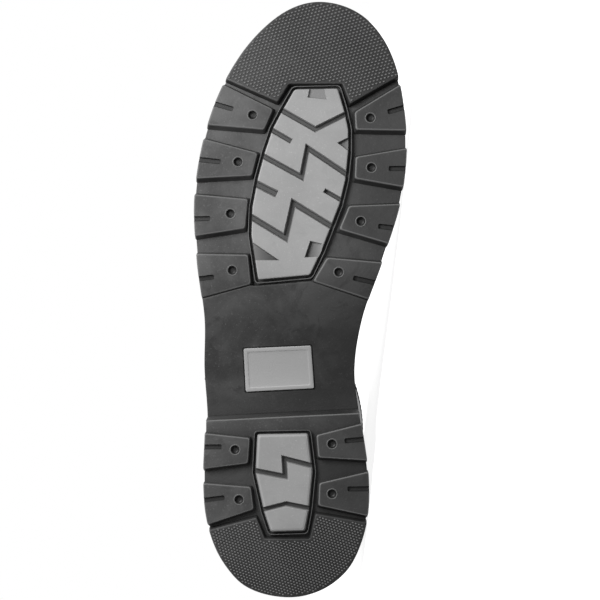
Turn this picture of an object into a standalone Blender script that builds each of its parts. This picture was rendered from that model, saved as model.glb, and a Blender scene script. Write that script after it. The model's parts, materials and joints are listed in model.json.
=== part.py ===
"""Engineer boot for the right foot, lying on its inner side, in metres with +Z up.

The tables are in millimetres in the upright boot's own frame: x to the outer side, y from heel to toe, z up
from the plane of the tread. The finished assembly is laid on its inner side with its toe toward +X.
"""

import bisect
import math
from collections import namedtuple

import bmesh
import bpy
from mathutils import Matrix, Vector

MM = 0.001

# Driving sizes of the sole, in millimetres
SOLE_LENGTH = 312.0
LUG_DEPTH = 5.0
SLAB = 7.5
HEEL_RISE = 26.0
ARCH_BACK = 98.0
ARCH_FRONT = 172.0
SPRING_START = 225.0
SPRING_RISE = 10.0
WAIST_DROP = 4.4
WAIST_GAP = 0.8
WAIST_STEPS = 5
HEEL_STEPS = 9
FIT = 0.3
OVERLAY_FIT = 0.65
TAB_FIT = 0.85

# Details of the tread
SIDE_RIB = 0.5
RIB_TOP = 9.5
LUG_EDGE_STEPS = 3
PAD_STEPS = 12
CUT_OVER = 0.5
NOTCH_WIDTH = 3.0
NOTCH_REACH = 14.0
NOTCH_DEPTH = 1.8
DIMPLE_RADIUS = 2.2
DIMPLE_DEPTH = 2.2
DIMPLE_SIDES = 8
GROOVE_DEPTH = 3.0
GROOVE_FLOOR_SHARE = 0.6
INSERT_CHAMFER = 0.7
PLATE_RECESS = 1.2
PLATE_PROUD = 0.8
PLATE_BORDER = 0.6

# Leather
WELT = 3.4
WELT_INSET = 0.8
INSOLE = 4.0
WALL = 2.9
SHAFT_STEP = 0.9
COLLAR_STEP = 0.2
OVERLAY = 1.6
STRAP = 2.2
STRAP_HALF = 12.0
TAB_HALF = 11.0
TAB_STEPS = 11
CROSS_SHARES = (-1.0, -0.5, 0.0, 0.5, 1.0)

# Buckles
WIRE = 1.6
ROLLER = 2.9
ROLLER_BORE = 1.95
FRAME_HALF = 15.4
FRAME_LENGTH = 21.0
BUCKLE_CORNER = 4.0
CORNER_STEPS = 2
ROLLER_SIDES = 12
PRONG = 1.1

# A prong's line: share of the way from hinge bar to roller bar, run past that, rise over its rest on the roller
ProngPoint = namedtuple("ProngPoint", "share run rise")
PRONG_LINE = (
    ProngPoint(0.0, -1.5, 3.4),
    ProngPoint(0.0, 4.0, 3.6),
    ProngPoint(0.55, 0.0, 1.6),
    ProngPoint(1.0, 0.0, 0.0),
    ProngPoint(1.0, 4.5, -1.2),
)

Station = namedtuple("Station", "along inner outer margin")
OUTLINE = (
    Station(0.0, -1.6, -1.6, 4.5),
    Station(7.0, -24.0, 22.9, 4.5),
    Station(14.0, -31.8, 29.7, 4.7),
    Station(25.0, -38.0, 36.5, 5.0),
    Station(45.0, -43.0, 42.2, 5.0),
    Station(61.0, -43.3, 43.2, 4.8),
    Station(93.0, -39.3, 42.4, 4.2),
    Station(118.0, -36.6, 43.8, 3.6),
    Station(145.0, -40.2, 43.1, 4.2),
    Station(176.0, -50.7, 46.6, 6.0),
    Station(207.0, -60.0, 47.9, 7.0),
    Station(233.0, -63.0, 44.4, 7.2),
    Station(259.0, -61.2, 36.7, 7.4),
    Station(281.0, -56.2, 25.4, 7.5),
    Station(302.0, -43.0, 7.0, 7.5),
    Station(312.0, -17.6, -17.6, 7.5),
)

# Each section runs from a front point to a back point. Rises are above the sole's edge below that point, waist
# shifts its middle to the outer side, oval goes from the outline of the last's bottom to an oval, and breadth
# narrows that outline.
Section = namedtuple("Section", "name toe_x toe_y toe_rise heel_y heel_rise half waist taper oval breadth")
SECTIONS = (
    Section("feather", -17.6, 304.5, 0.0, 4.5, 0.0, 36.0, 4.0, 0.30, 0.00, 1.00),
    Section("welt_top", -17.6, 304.5, 4.5, 4.5, 4.5, 36.0, 4.0, 0.30, 0.00, 1.00),
    Section("wall", -17.5, 305.8, 13.0, 3.2, 10.5, 37.0, 4.0, 0.30, 0.00, 1.02),
    Section("toe_side", -17.0, 304.0, 25.0, 2.2, 16.5, 37.0, 4.0, 0.30, 0.05, 1.01),
    Section("toe_shoulder", -16.0, 296.0, 36.0, 2.0, 22.5, 36.0, 4.0, 0.30, 0.25, 0.96),
    Section("toe_top", -15.0, 281.0, 43.5, 2.3, 28.5, 35.5, 4.5, 0.30, 0.55, 0.90),
    Section("vamp", -13.0, 258.0, 48.0, 3.0, 34.5, 34.8, 4.5, 0.35, 0.85, 0.87),
    Section("ball", -9.5, 226.0, 54.5, 4.0, 40.5, 34.5, 4.5, 0.30, 1.00, 0.87),
    Section("instep_low", -6.0, 193.0, 66.5, 5.2, 47.0, 34.7, 4.0, 0.25, 1.00, 0.87),
    Section("instep", -3.5, 168.0, 84.0, 6.3, 55.0, 35.4, 3.0, 0.20, 1.00, 0.87),
    Section("instep_high", -1.5, 150.0, 106.0, 7.3, 66.0, 37.0, 2.0, 0.15, 1.00, 0.87),
    Section("ankle", 0.0, 140.5, 131.0, 8.0, 88.0, 40.0, 1.0, 0.10, 1.00, 0.87),
    Section("shaft_low", 0.5, 136.5, 159.0, 5.5, 122.0, 44.0, 0.5, 0.05, 1.00, 0.87),
    Section("shaft_mid", 1.0, 136.0, 201.0, 0.0, 174.0, 47.5, 0.0, 0.00, 1.00, 0.87),
    Section("shaft_high", 1.0, 138.5, 241.0, -3.0, 223.0, 49.5, 0.0, 0.00, 1.00, 0.87),
    Section("collar", 1.0, 140.0, 271.0, -4.0, 254.0, 50.0, 0.0, 0.00, 1.00, 0.87),
)
VAMP_LINE = 10.0
COLLAR_LINE = 14.7
TAPER_CENTRE = 0.4

# Section numbers of the rings round the upper
UPPER_LEVELS = (
    0.0, 0.9, 1.5, 2.0, 2.5, 3.0, 3.5, 4.0, 4.5, 5.0, 6.0, 6.6, 7.0, 7.5, 8.0, 8.5, 9.0, 9.5, VAMP_LINE, 10.5,
    11.0, 12.0, 13.0, 14.0, COLLAR_LINE, 15.0,
)

# Corners of a lug at the tread, with its dimple and the inner end of its notch
Lug = namedtuple("Lug", "outer_toe inner_toe inner_heel outer_heel dimple notch")
FOREFOOT_LUGS = (
    Lug((31.5, 267.5), (7.0, 254.5), (11.5, 244.0), (40.0, 246.5), (17.5, 251.5), (27.5, 254.5)),
    Lug((43.0, 239.0), (15.0, 231.5), (18.0, 220.0), (46.5, 218.5), (25.0, 227.0), (34.0, 227.0)),
    Lug((47.5, 210.0), (20.0, 207.5), (21.5, 192.5), (46.5, 188.5), (29.0, 200.0), (39.5, 197.5)),
    Lug((46.5, 179.0), (20.0, 178.5), (18.5, 163.5), (43.0, 156.5), (28.0, 170.5), (37.5, 167.0)),
    Lug((-58.5, 267.5), (-36.0, 253.0), (-36.5, 244.0), (-61.5, 243.5), (-44.0, 250.0), (-53.0, 253.0)),
    Lug((-62.5, 234.0), (-36.5, 229.5), (-36.0, 218.5), (-61.0, 214.0), (-44.5, 224.0), (-53.5, 223.5)),
    Lug((-59.0, 205.0), (-33.0, 204.0), (-28.0, 192.0), (-53.5, 184.5), (-39.0, 196.0), (-48.0, 193.5)),
    Lug((-49.0, 174.5), (-21.5, 177.0), (-14.5, 165.0), (-41.5, 155.5), (-27.5, 169.5), (-35.0, 166.5)),
)
HEEL_LUGS = (
    Lug((42.0, 85.5), (19.0, 83.0), (20.0, 70.0), (43.0, 67.0), (26.5, 77.0), (33.5, 78.5)),
    Lug((43.0, 59.5), (18.5, 57.5), (17.0, 46.0), (40.0, 38.0), (24.5, 51.0), (32.0, 52.0)),
    Lug((-38.5, 90.5), (-16.0, 84.5), (-17.0, 73.0), (-41.5, 71.5), (-24.0, 80.0), (-30.5, 81.5)),
    Lug((-41.5, 65.5), (-17.5, 59.5), (-17.0, 48.0), (-42.5, 42.5), (-24.0, 54.0), (-32.0, 56.5)),
)
Draft = namedtuple("Draft", "toe inner heel pad")
FOREFOOT_DRAFT = Draft(1.0, 1.5, 2.2, 1.3)
HEEL_DRAFT = Draft(0.6, 1.2, 1.6, 0.9)

# The inner edge of each pad, from the outer side of the boot to its inner side
TOE_PAD_EDGE = ((29.0, 270.5), (4.5, 258.5), (-1.5, 268.0), (-29.5, 268.0), (-33.5, 257.5), (-57.0, 272.0))
HEEL_PAD_EDGE = ((39.5, 35.0), (15.5, 41.5), (11.0, 30.5), (-12.5, 30.5), (-15.5, 43.5), (-42.0, 39.0))
HEEL_BREAST = ((41.5, 92.0), (-37.5, 96.0))

FOREFOOT_INSERT = (
    (-4.5, 265.0), (1.5, 254.5), (7.0, 244.0), (11.0, 232.0), (14.5, 219.0), (17.5, 203.5), (18.0, 189.0),
    (14.5, 165.5), (-12.5, 168.0), (-18.5, 180.5), (-28.0, 205.0), (-31.0, 217.5), (-32.5, 232.0),
    (-32.5, 244.0), (-30.5, 253.5), (-27.0, 265.5),
)
HEEL_INSERT = (
    (15.0, 85.0), (-11.5, 85.5), (-14.0, 65.5), (-12.0, 45.0), (-10.0, 34.5), (8.0, 34.0), (11.5, 44.5),
    (16.0, 65.0),
)
ARCH_PLATE = ((22.6, 129.3), (-13.2, 130.9), (-14.9, 107.8), (21.7, 105.9))

# Front edge of the waist under the insert, from the outer side of the boot to its inner side
WAIST_FRONT = ((18.6, 162.6), (15.0, 162.4), (-12.9, 164.9), (-14.9, 164.1))

# A groove is a line of the given width, run out past the insert's edge at its open ends
Groove = namedtuple("Groove", "width start_run end_run line")
FOREFOOT_GROOVES = (
    Groove(3.0, 3.0, 3.0, ((1.7, 253.7), (-15.3, 244.0), (-30.8, 251.7))),
    Groove(2.8, 3.0, 0.0, ((6.8, 243.3), (-2.8, 237.7))),
    Groove(3.0, 3.0, 3.0, ((11.4, 229.8), (-8.3, 219.0), (-11.3, 234.2), (-31.6, 220.6))),
    Groove(3.9, 3.0, 0.0, ((14.4, 215.0), (4.8, 210.2))),
    Groove(2.4, 0.0, 3.0, ((-19.9, 212.2), (-28.2, 207.4))),
    Groove(3.4, 3.0, 3.0, ((16.4, 197.2), (0.1, 187.3), (-4.0, 205.5), (-23.4, 193.6))),
)
FOREFOOT_POCKETS = (
    ((-26.5, 237.0), (-34.5, 241.0), (-34.5, 231.0)),
    ((18.5, 186.0), (3.0, 175.5), (18.0, 175.5)),
    ((-12.5, 186.0), (-19.0, 184.5), (-18.5, 177.5), (-9.5, 177.0)),
    ((-12.5, 267.0), (-20.0, 267.0), (-21.5, 259.5), (-11.0, 260.5)),
)
HEEL_GROOVES = (
    Groove(3.0, 3.0, 3.0, ((14.7, 65.7), (0.3, 62.9), (0.8, 72.2), (-12.2, 68.9))),
    Groove(2.8, 3.0, 3.0, ((11.5, 45.7), (-0.2, 48.7), (-11.8, 46.4))),
)

# The instep strap lies along a line in side view, from the top of the instep down to the welt
INSTEP_TOP = (157.0, 119.0)
INSTEP_FOOT = (106.0, 42.0)
INSTEP_SEARCH = 0.12
SHAFT_STRAP_HEIGHT = 262.0
SHAFT_STRAP_SPAN = (0.49, 0.12)
STRAP_FOOT = 1.05

# Places along a strap, in millimetres from its front or lower end
StrapPlan = namedtuple("StrapPlan", "tip hinge steps")
INSTEP_PLAN = StrapPlan(18.0, 44.0, 21)
SHAFT_PLAN = StrapPlan(10.0, 36.0, 16)
HINGE_LIFT = 3.0
STRAP_OVER_HINGE = 5.8
STRAP_OVER_TAB = 3.6
ROLLER_LIFT = 7.1
SQUARE_RUN = 25.0
SQUARE_KEEP = 0.35
BEFORE_HINGE = 7.0
HINGE_REACH = 2.5
BEFORE_ROLLER = 5.0
PAST_ROLLER = 6.0

# Width of a strap at runs from its tip, as a share of its full width
TipWidth = namedtuple("TipWidth", "run share")
TIP_WIDTHS = (TipWidth(0.0, 0.45), TipWidth(4.0, 0.8), TipWidth(10.0, 1.0))

COUNTER_REACH = 0.165
COUNTER_BACK = 9.4
COUNTER_FRONT = 4.0
COUNTER_ROWS = 8
BACKSTAY_REACH = 0.022
BACKSTAY_SPAN = (10.15, 14.55)
BACKSTAY_ROWS = 10
BACKSTAY_SHARES = (-1.0, -0.4, 0.4, 1.0)

# Small steps along the outline, round the upper, up its sections and along a strap, for directions
OUTLINE_STEP = 0.001
AROUND_STEP = 0.002
LEVEL_STEP = 0.02
BAND_STEP = 0.005

RUBBER = (0.075, 0.075, 0.077)
PALE_RUBBER = (0.36, 0.36, 0.36)
LEATHER = (0.022, 0.021, 0.02)
BOARD = (0.34, 0.25, 0.16)
STEEL = (0.62, 0.61, 0.59)


def blend(knots, values, at):
    """Smooth curve through the values, with the slope at each knot taken from its two neighbours."""
    last = len(knots) - 1
    i = min(max(bisect.bisect_right(knots, at) - 1, 0), last - 1)

    def slope(k):
        low = max(k - 1, 0)
        high = min(k + 1, last)
        if low == k or high == k:
            return (values[high] - values[low]) / (knots[high] - knots[low])
        weight = (knots[k] - knots[low]) / (knots[high] - knots[low])
        before = (values[k] - values[low]) / (knots[k] - knots[low])
        after = (values[high] - values[k]) / (knots[high] - knots[k])
        return before * (1 - weight) + after * weight

    span = knots[i + 1] - knots[i]
    s = (at - knots[i]) / span
    start = (1 + 2 * s) * (1 - s) ** 2 * values[i] + s * (1 - s) ** 2 * span * slope(i)
    return start + s * s * (3 - 2 * s) * values[i + 1] + s * s * (s - 1) * span * slope(i + 1)


def solve(function, low, high, target):
    """Argument between low and high where a rising function reaches the target."""
    for _ in range(32):
        middle = (low + high) / 2
        if function(middle) < target:
            low = middle
        else:
            high = middle
    return (low + high) / 2


# Side profile of the sole

HEEL_END = 60.0
TOE_END = 200.0
TIP_STEPS = 6
ARCH_STEP = 8.0
STATIONS = [HEEL_END * (1 - math.cos(math.pi / 2 * i / TIP_STEPS)) for i in range(TIP_STEPS)]
STATIONS += [HEEL_END, 72.0, 85.0]
STATIONS += [ARCH_BACK + ARCH_STEP * i for i in range(10)]
STATIONS += [185.0]
STATIONS += [
    TOE_END + (SOLE_LENGTH - TOE_END) * math.sin(math.pi / 2 * i / TIP_STEPS) for i in range(TIP_STEPS + 1)
]


def smooth_floor(y):
    """Height of the tread's floor: up through the arch to the heel, and up again in the toe spring."""
    step = min(max((ARCH_FRONT - y) / (ARCH_FRONT - ARCH_BACK), 0.0), 1.0)
    spring = max(y - SPRING_START, 0.0) / (SOLE_LENGTH - SPRING_START)
    return LUG_DEPTH + HEEL_RISE * step * step * (3 - 2 * step) + SPRING_RISE * spring * spring


def floor(y):
    """The same height along straight runs between the stations, as every piece on the sole follows it."""
    i = min(max(bisect.bisect_right(STATIONS, y) - 1, 0), len(STATIONS) - 2)
    share = (y - STATIONS[i]) / (STATIONS[i + 1] - STATIONS[i])
    return smooth_floor(STATIONS[i]) * (1 - share) + smooth_floor(STATIONS[i + 1]) * share


def seat(y):
    """Height of the sole's upper face."""
    return floor(y) + SLAB


# Outline of the sole, followed from the heel along the outer side (a from 0 to 0.5) and back along the inner

OUTLINE_KNOTS = [math.acos(1 - 2 * row.along / SOLE_LENGTH) / math.pi for row in OUTLINE]


def side_of(a):
    """Side, +1 outer or -1 inner, and the share of the way from heel to toe."""
    a = a % 1.0
    return (1, 2 * a) if a <= 0.5 else (-1, 2 - 2 * a)


def outline_point(a):
    side, u = side_of(a)
    values = [row.outer if side > 0 else row.inner for row in OUTLINE]
    return Vector((blend(OUTLINE_KNOTS, values, u), SOLE_LENGTH * (1 - math.cos(math.pi * u)) / 2))


def inset_point(a, inset):
    """Point of the outline moved inward, square to it."""
    along = outline_point(a + OUTLINE_STEP) - outline_point(a - OUTLINE_STEP)
    along.normalize()
    return outline_point(a) + inset * Vector((-along.y, along.x))


def margin(a):
    return blend(OUTLINE_KNOTS, [row.margin for row in OUTLINE], side_of(a)[1])


def feather_point(a):
    """Edge of the last's bottom, where the upper meets the sole."""
    return inset_point(a, margin(a))


def loop_parameters(curve):
    """Parameters of a closed curve at the stations, which are squeezed into its own tips."""
    heel = curve(0.0).y
    toe = curve(0.5).y
    outer = [0.0]
    inner = []
    for station in STATIONS[1:-1]:
        y = station
        if station < HEEL_END:
            y = heel + (HEEL_END - heel) * station / HEEL_END
        if station > TOE_END:
            y = TOE_END + (toe - TOE_END) * (station - TOE_END) / (SOLE_LENGTH - TOE_END)
        outer.append(solve(lambda a: curve(a).y, 0.0, 0.5, y))
        inner.append(1 - solve(lambda a: curve(1 - a).y, 0.0, 0.5, y))
    return outer + [0.5] + inner[::-1]


def outline_at(side, y):
    """Point of the sole's outline on one side at a distance from the heel."""
    u = math.acos(1 - 2 * y / SOLE_LENGTH) / math.pi
    return outline_point(u / 2 if side > 0 else 1 - u / 2)


def outline_run(side, start, end, steps):
    """Points of the outline on one side, from one distance from the heel to another."""
    return [outline_at(side, start + (end - start) * i / steps) for i in range(steps + 1)]


# Surface of the upper: a round the boot, t up through the sections

FEATHER_HEEL = feather_point(0.0)
FEATHER_TOE = feather_point(0.5)
SECTION_KNOTS = list(range(len(SECTIONS)))


def section(t):
    """The sizes of a section between two rows of the table."""
    sizes = [blend(SECTION_KNOTS, column, t) for column in list(zip(*SECTIONS))[1:]]
    return Section("between", *sizes)


def upper_point(a, t):
    row = section(t)
    side, u = side_of(a)
    foot = feather_point(a)
    middle = (foot.x + feather_point(1 - a).x) / 2
    foot_share = (foot.y - FEATHER_HEEL.y) / (FEATHER_TOE.y - FEATHER_HEEL.y)
    oval_share = (1 - math.cos(math.pi * u)) / 2
    along = foot_share + (oval_share - foot_share) * row.oval
    swell = math.sin(math.pi * u) * (1 - row.taper * (oval_share - TAPER_CENTRE))
    foot_x = middle + (foot.x - middle) * row.breadth
    waist = row.waist * math.sin(math.pi * u) ** 4
    oval_x = row.toe_x * oval_share**2 + waist + side * row.half * swell
    heel_z = seat(FEATHER_HEEL.y) + FIT + row.heel_rise
    toe_z = seat(FEATHER_TOE.y) + FIT + row.toe_rise
    straight = seat(FEATHER_HEEL.y) * (1 - foot_share) + seat(FEATHER_TOE.y) * foot_share
    sag = (1 - row.oval) * (seat(foot.y) - straight)
    x = foot_x + (oval_x - foot_x) * row.oval
    y = row.heel_y + (row.toe_y - row.heel_y) * along
    return Vector((x, y, heel_z + (toe_z - heel_z) * along + sag))


def lifted(a, t, lift):
    """Point off the upper's surface, square to it."""
    top = SECTION_KNOTS[-1]
    around = upper_point(a + AROUND_STEP, t) - upper_point(a - AROUND_STEP, t)
    upward = upper_point(a, min(t + LEVEL_STEP, top)) - upper_point(a, max(t - LEVEL_STEP, 0.0))
    return upper_point(a, t) + lift * around.cross(upward).normalized()


# Building blocks

def material(name, colour, roughness, metallic=0.0):
    made = bpy.data.materials.new(name)
    made.use_nodes = True
    shader = made.node_tree.nodes["Principled BSDF"]
    shader.inputs["Base Color"].default_value = (*colour, 1.0)
    shader.inputs["Roughness"].default_value = roughness
    shader.inputs["Metallic"].default_value = metallic
    made.diffuse_color = (*colour, 1.0)
    return made


def new_object(name, bm, finish):
    """Object from a closed mesh in millimetres."""
    bmesh.ops.recalc_face_normals(bm, faces=bm.faces)
    bmesh.ops.scale(bm, vec=(MM, MM, MM), verts=bm.verts)
    mesh = bpy.data.meshes.new(name)
    bm.to_mesh(mesh)
    bm.free()
    obj = bpy.data.objects.new(name, mesh)
    bpy.context.scene.collection.objects.link(obj)
    mesh.materials.append(finish)
    return obj


def helper(name, bm, finish):
    """A shape that only joins to or cuts from another object."""
    obj = new_object(name, bm, finish)
    obj.hide_render = True
    obj.display_type = "WIRE"
    return obj


def combine(obj, other, operation):
    modifier = obj.modifiers.new(operation.lower(), "BOOLEAN")
    modifier.operation = operation
    modifier.solver = "EXACT"
    modifier.object = other


def add_rings(bm, rings, wrap):
    """Quads between closed rings of equal count, and from the last ring back to the first when wrap is set."""
    made = [[bm.verts.new(point) for point in ring] for ring in rings]
    pairs = list(zip(made, made[1:]))
    if wrap:
        pairs.append((made[-1], made[0]))
    for low, high in pairs:
        for i in range(len(low)):
            j = (i + 1) % len(low)
            bm.faces.new((low[i], low[j], high[j], high[i]))
    return made


def add_slab(bm, low, high):
    """Closed slab between two rings round a shape that is symmetric in its count of points."""
    for ring in add_rings(bm, (low, high), False):
        count = len(ring)
        for i in range(count // 2):
            corners = [ring[i], ring[i + 1], ring[(count - i - 1) % count], ring[(count - i) % count]]
            bm.faces.new(list(dict.fromkeys(corners)))


def add_prism(bm, layers):
    """Closed solid through polygons of equal count at stated heights."""
    rings = [[(x, y, height) for x, y in polygon] for polygon, height in layers]
    made = add_rings(bm, rings, False)
    caps = [bm.faces.new(made[0]), bm.faces.new(made[-1])]
    bmesh.ops.triangulate(bm, faces=caps)


def add_sheet(bm, low, high):
    """Closed sheet between two grids of points."""
    grids = [[[bm.verts.new(point) for point in line] for line in grid] for grid in (low, high)]
    rows = len(low)
    columns = len(low[0])
    for grid in grids:
        for i in range(rows - 1):
            for j in range(columns - 1):
                bm.faces.new((grid[i][j], grid[i + 1][j], grid[i + 1][j + 1], grid[i][j + 1]))
    edge = [(i, 0) for i in range(rows)] + [(rows - 1, j) for j in range(1, columns)]
    edge += [(i, columns - 1) for i in range(rows - 2, -1, -1)] + [(0, j) for j in range(columns - 2, 0, -1)]
    for (i, j), (k, m) in zip(edge, edge[1:] + edge[:1]):
        bm.faces.new((grids[0][i][j], grids[0][k][m], grids[1][k][m], grids[1][i][j]))


def follow_floor(bm, level):
    """Cut a flat shape at the stations and raise it from the stated level to the tread's floor."""
    for station in STATIONS[1:-1]:
        everything = bm.verts[:] + bm.edges[:] + bm.faces[:]
        bmesh.ops.bisect_plane(bm, geom=everything, plane_co=(0, station, 0), plane_no=(0, 1, 0), dist=1e-5)
    bmesh.ops.triangulate(bm, faces=bm.faces[:])
    for vert in bm.verts:
        vert.co.z += floor(vert.co.y) - level


def grown(polygon, offsets):
    """Polygon with each edge, from its corner to the next, moved outward by its own offset."""
    points = [Vector(point) for point in polygon]
    count = len(points)
    area = sum(points[i - 1].x * points[i].y - points[i].x * points[i - 1].y for i in range(count))
    turn = 1 if area > 0 else -1
    normals = []
    for i in range(count):
        along = (points[(i + 1) % count] - points[i]).normalized()
        normals.append(turn * Vector((along.y, -along.x)))
    moved = []
    for i in range(count):
        first = normals[i - 1]
        second = normals[i]
        cross = first.x * second.y - first.y * second.x
        if abs(cross) < 0.05:
            moved.append(points[i] + second * (offsets[i - 1] + offsets[i]) / 2)
            continue
        along_x = (offsets[i - 1] * second.y - offsets[i] * first.y) / cross
        along_y = (first.x * offsets[i] - second.x * offsets[i - 1]) / cross
        moved.append(points[i] + Vector((along_x, along_y)))
    return moved


def channel(line, width, start_run=0.0, end_run=0.0):
    """Polygon of even width along a line, run out past its ends."""
    points = [Vector(point) for point in line]
    points[0] = points[0] + (points[0] - points[1]).normalized() * start_run
    points[-1] = points[-1] + (points[-1] - points[-2]).normalized() * end_run
    left = []
    right = []
    for i, point in enumerate(points):
        before = (point - points[max(i - 1, 0)]) if i else points[1] - point
        after = (points[i + 1] - point) if i + 1 < len(points) else before
        before = before.normalized()
        after = after.normalized()
        square = Vector((-before.y - after.y, before.x + after.x)).normalized()
        reach = width / 2 / square.dot(Vector((-before.y, before.x)))
        left.append(point + square * reach)
        right.append(point - square * reach)
    return left + right[::-1]


# Tread pieces

def lug_polygon(lug):
    """Corners of a lug, with its outer edge on the sole's outline."""
    side = 1 if lug.outer_toe[0] > 0 else -1
    edge = outline_run(side, lug.outer_heel[1], lug.outer_toe[1], LUG_EDGE_STEPS)
    return [edge[-1], Vector(lug.inner_toe), Vector(lug.inner_heel)] + edge[:-1]


def add_lugs(bm, lugs, draft):
    for lug in lugs:
        polygon = lug_polygon(lug)
        base = grown(polygon, [draft.toe, draft.inner, draft.heel] + [0.0] * LUG_EDGE_STEPS)
        add_prism(bm, ((polygon, 0.0), (base, LUG_DEPTH), (base, RIB_TOP)))


def add_pad(bm, edge, tip, draft):
    """Pad at a tip of the sole behind a stepped edge."""
    first = outline_at(1, edge[0][1])
    last = outline_at(-1, edge[-1][1])
    share = math.acos(1 - 2 * first.y / SOLE_LENGTH) / math.pi / 2
    back = 1 - math.acos(1 - 2 * last.y / SOLE_LENGTH) / math.pi / 2
    reach = back - share if tip == "toe" else back - 1 - share
    rim = [outline_point(share + reach * i / PAD_STEPS) for i in range(PAD_STEPS + 1)]
    polygon = [Vector(point) for point in edge[1:-1]] + rim[::-1]
    offsets = [draft.pad] * (len(edge) - 2) + [0.0] * PAD_STEPS + [draft.pad]
    base = grown(polygon, offsets)
    add_prism(bm, ((polygon, 0.0), (base, LUG_DEPTH), (base, RIB_TOP)))


def add_lug_cuts(bm, lugs):
    """Notch from the outer edge and dimple of each lug."""
    for lug in lugs:
        inner = (Vector(lug.inner_toe) + Vector(lug.inner_heel)) / 2
        outer = (Vector(lug.outer_toe) + Vector(lug.outer_heel)) / 2
        start = Vector(lug.notch)
        end = start + (outer - inner).normalized() * NOTCH_REACH
        notch = channel((start, end), NOTCH_WIDTH)
        add_prism(bm, ((notch, -CUT_OVER), (notch, NOTCH_DEPTH)))
        angles = [2 * math.pi * i / DIMPLE_SIDES for i in range(DIMPLE_SIDES)]
        ring = [Vector(lug.dimple) + DIMPLE_RADIUS * Vector((math.cos(q), math.sin(q))) for q in angles]
        add_prism(bm, ((ring, -CUT_OVER), (ring, DIMPLE_DEPTH)))


def add_waist(bm):
    """Thick waist between the heel's breast and the rear edges of the last two forefoot lugs."""
    sides = []
    for side, breast, lug in zip((1, -1), HEEL_BREAST, (FOREFOOT_LUGS[3], FOREFOOT_LUGS[7])):
        edge = outline_run(side, breast[1] + FIT, lug.outer_heel[1] - WAIST_GAP, WAIST_STEPS)
        sides.append([point - side * Vector((SIDE_RIB / 2, 0.0)) for point in edge])
    polygon = sides[0] + [Vector(point) for point in WAIST_FRONT] + sides[1][::-1]
    add_prism(bm, ((polygon, LUG_DEPTH - WAIST_DROP), (polygon, RIB_TOP - SIDE_RIB)))


def make_outsole(finish):
    """Slab with toe spring; waist, lugs and toe pad joined on; notches, dimples and plate recess cut."""
    slab = bmesh.new()
    ring = [inset_point(a, SIDE_RIB) for a in loop_parameters(lambda a: inset_point(a, SIDE_RIB))]
    low = [(p.x, p.y, floor(p.y)) for p in ring]
    high = [(p.x, p.y, seat(p.y)) for p in ring]
    add_slab(slab, low, high)
    obj = new_object("outsole", slab, finish)
    tread = bmesh.new()
    add_lugs(tread, FOREFOOT_LUGS, FOREFOOT_DRAFT)
    add_pad(tread, TOE_PAD_EDGE, "toe", FOREFOOT_DRAFT)
    follow_floor(tread, LUG_DEPTH)
    waist = bmesh.new()
    add_waist(waist)
    follow_floor(waist, LUG_DEPTH)
    combine(obj, helper("outsole_waist", waist, finish), "UNION")
    combine(obj, helper("outsole_lugs", tread, finish), "UNION")
    cuts = bmesh.new()
    add_lug_cuts(cuts, FOREFOOT_LUGS)
    follow_floor(cuts, LUG_DEPTH)
    recess = bmesh.new()
    polygon = grown(ARCH_PLATE, [PLATE_BORDER] * len(ARCH_PLATE))
    add_prism(recess, ((polygon, -WAIST_DROP - CUT_OVER), (polygon, PLATE_RECESS - WAIST_DROP)))
    follow_floor(recess, 0.0)
    combine(obj, helper("outsole_cuts", cuts, finish), "DIFFERENCE")
    combine(obj, helper("plate_recess", recess, finish), "DIFFERENCE")
    return obj


def make_heel(finish):
    """Heel block behind the breast, with its lugs and pad."""
    block = bmesh.new()
    turns = [math.pi / 2 * i / HEEL_STEPS for i in range(HEEL_STEPS + 1)]
    ring = []
    for side, end in zip((1, -1), HEEL_BREAST):
        half = [outline_at(side, end[1] * (1 - math.cos(turn))) for turn in turns]
        ring += half if side > 0 else half[:0:-1]
    ring = grown(ring, [-SIDE_RIB] * HEEL_STEPS + [0.0] + [-SIDE_RIB] * HEEL_STEPS)
    add_prism(block, ((ring, LUG_DEPTH), (ring, LUG_DEPTH + HEEL_RISE - FIT)))
    obj = new_object("heel", block, finish)
    tread = bmesh.new()
    add_lugs(tread, HEEL_LUGS, HEEL_DRAFT)
    add_pad(tread, HEEL_PAD_EDGE, "heel", HEEL_DRAFT)
    combine(obj, helper("heel_lugs", tread, finish), "UNION")
    cuts = bmesh.new()
    add_lug_cuts(cuts, HEEL_LUGS)
    combine(obj, helper("heel_cuts", cuts, finish), "DIFFERENCE")
    return obj


def make_insert(name, outline, grooves, pockets, bent, finish):
    """Pale tread block on the groove floor, with its own grooves."""
    body = bmesh.new()
    chamfered = grown(outline, [-INSERT_CHAMFER] * len(outline))
    add_prism(body, ((chamfered, 0.0), (outline, INSERT_CHAMFER), (outline, LUG_DEPTH - FIT)))
    cuts = bmesh.new()
    for groove in grooves:
        mouth = channel(groove.line, groove.width, groove.start_run, groove.end_run)
        bottom = channel(groove.line, groove.width * GROOVE_FLOOR_SHARE, groove.start_run, groove.end_run)
        add_prism(cuts, ((mouth, -CUT_OVER), (bottom, GROOVE_DEPTH)))
    for pocket in pockets:
        add_prism(cuts, ((pocket, -CUT_OVER), (pocket, GROOVE_DEPTH)))
    if bent:
        follow_floor(body, LUG_DEPTH)
        follow_floor(cuts, LUG_DEPTH)
    obj = new_object(name, body, finish)
    combine(obj, helper(name + "_cuts", cuts, finish), "DIFFERENCE")
    return obj


def make_arch_plate(finish):
    """Bare plate in the waist's recess."""
    body = bmesh.new()
    add_prism(body, ((ARCH_PLATE, -WAIST_DROP - PLATE_PROUD), (ARCH_PLATE, PLATE_RECESS - WAIST_DROP - FIT)))
    follow_floor(body, 0.0)
    return new_object("arch_plate", body, finish)


# Leather pieces

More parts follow.
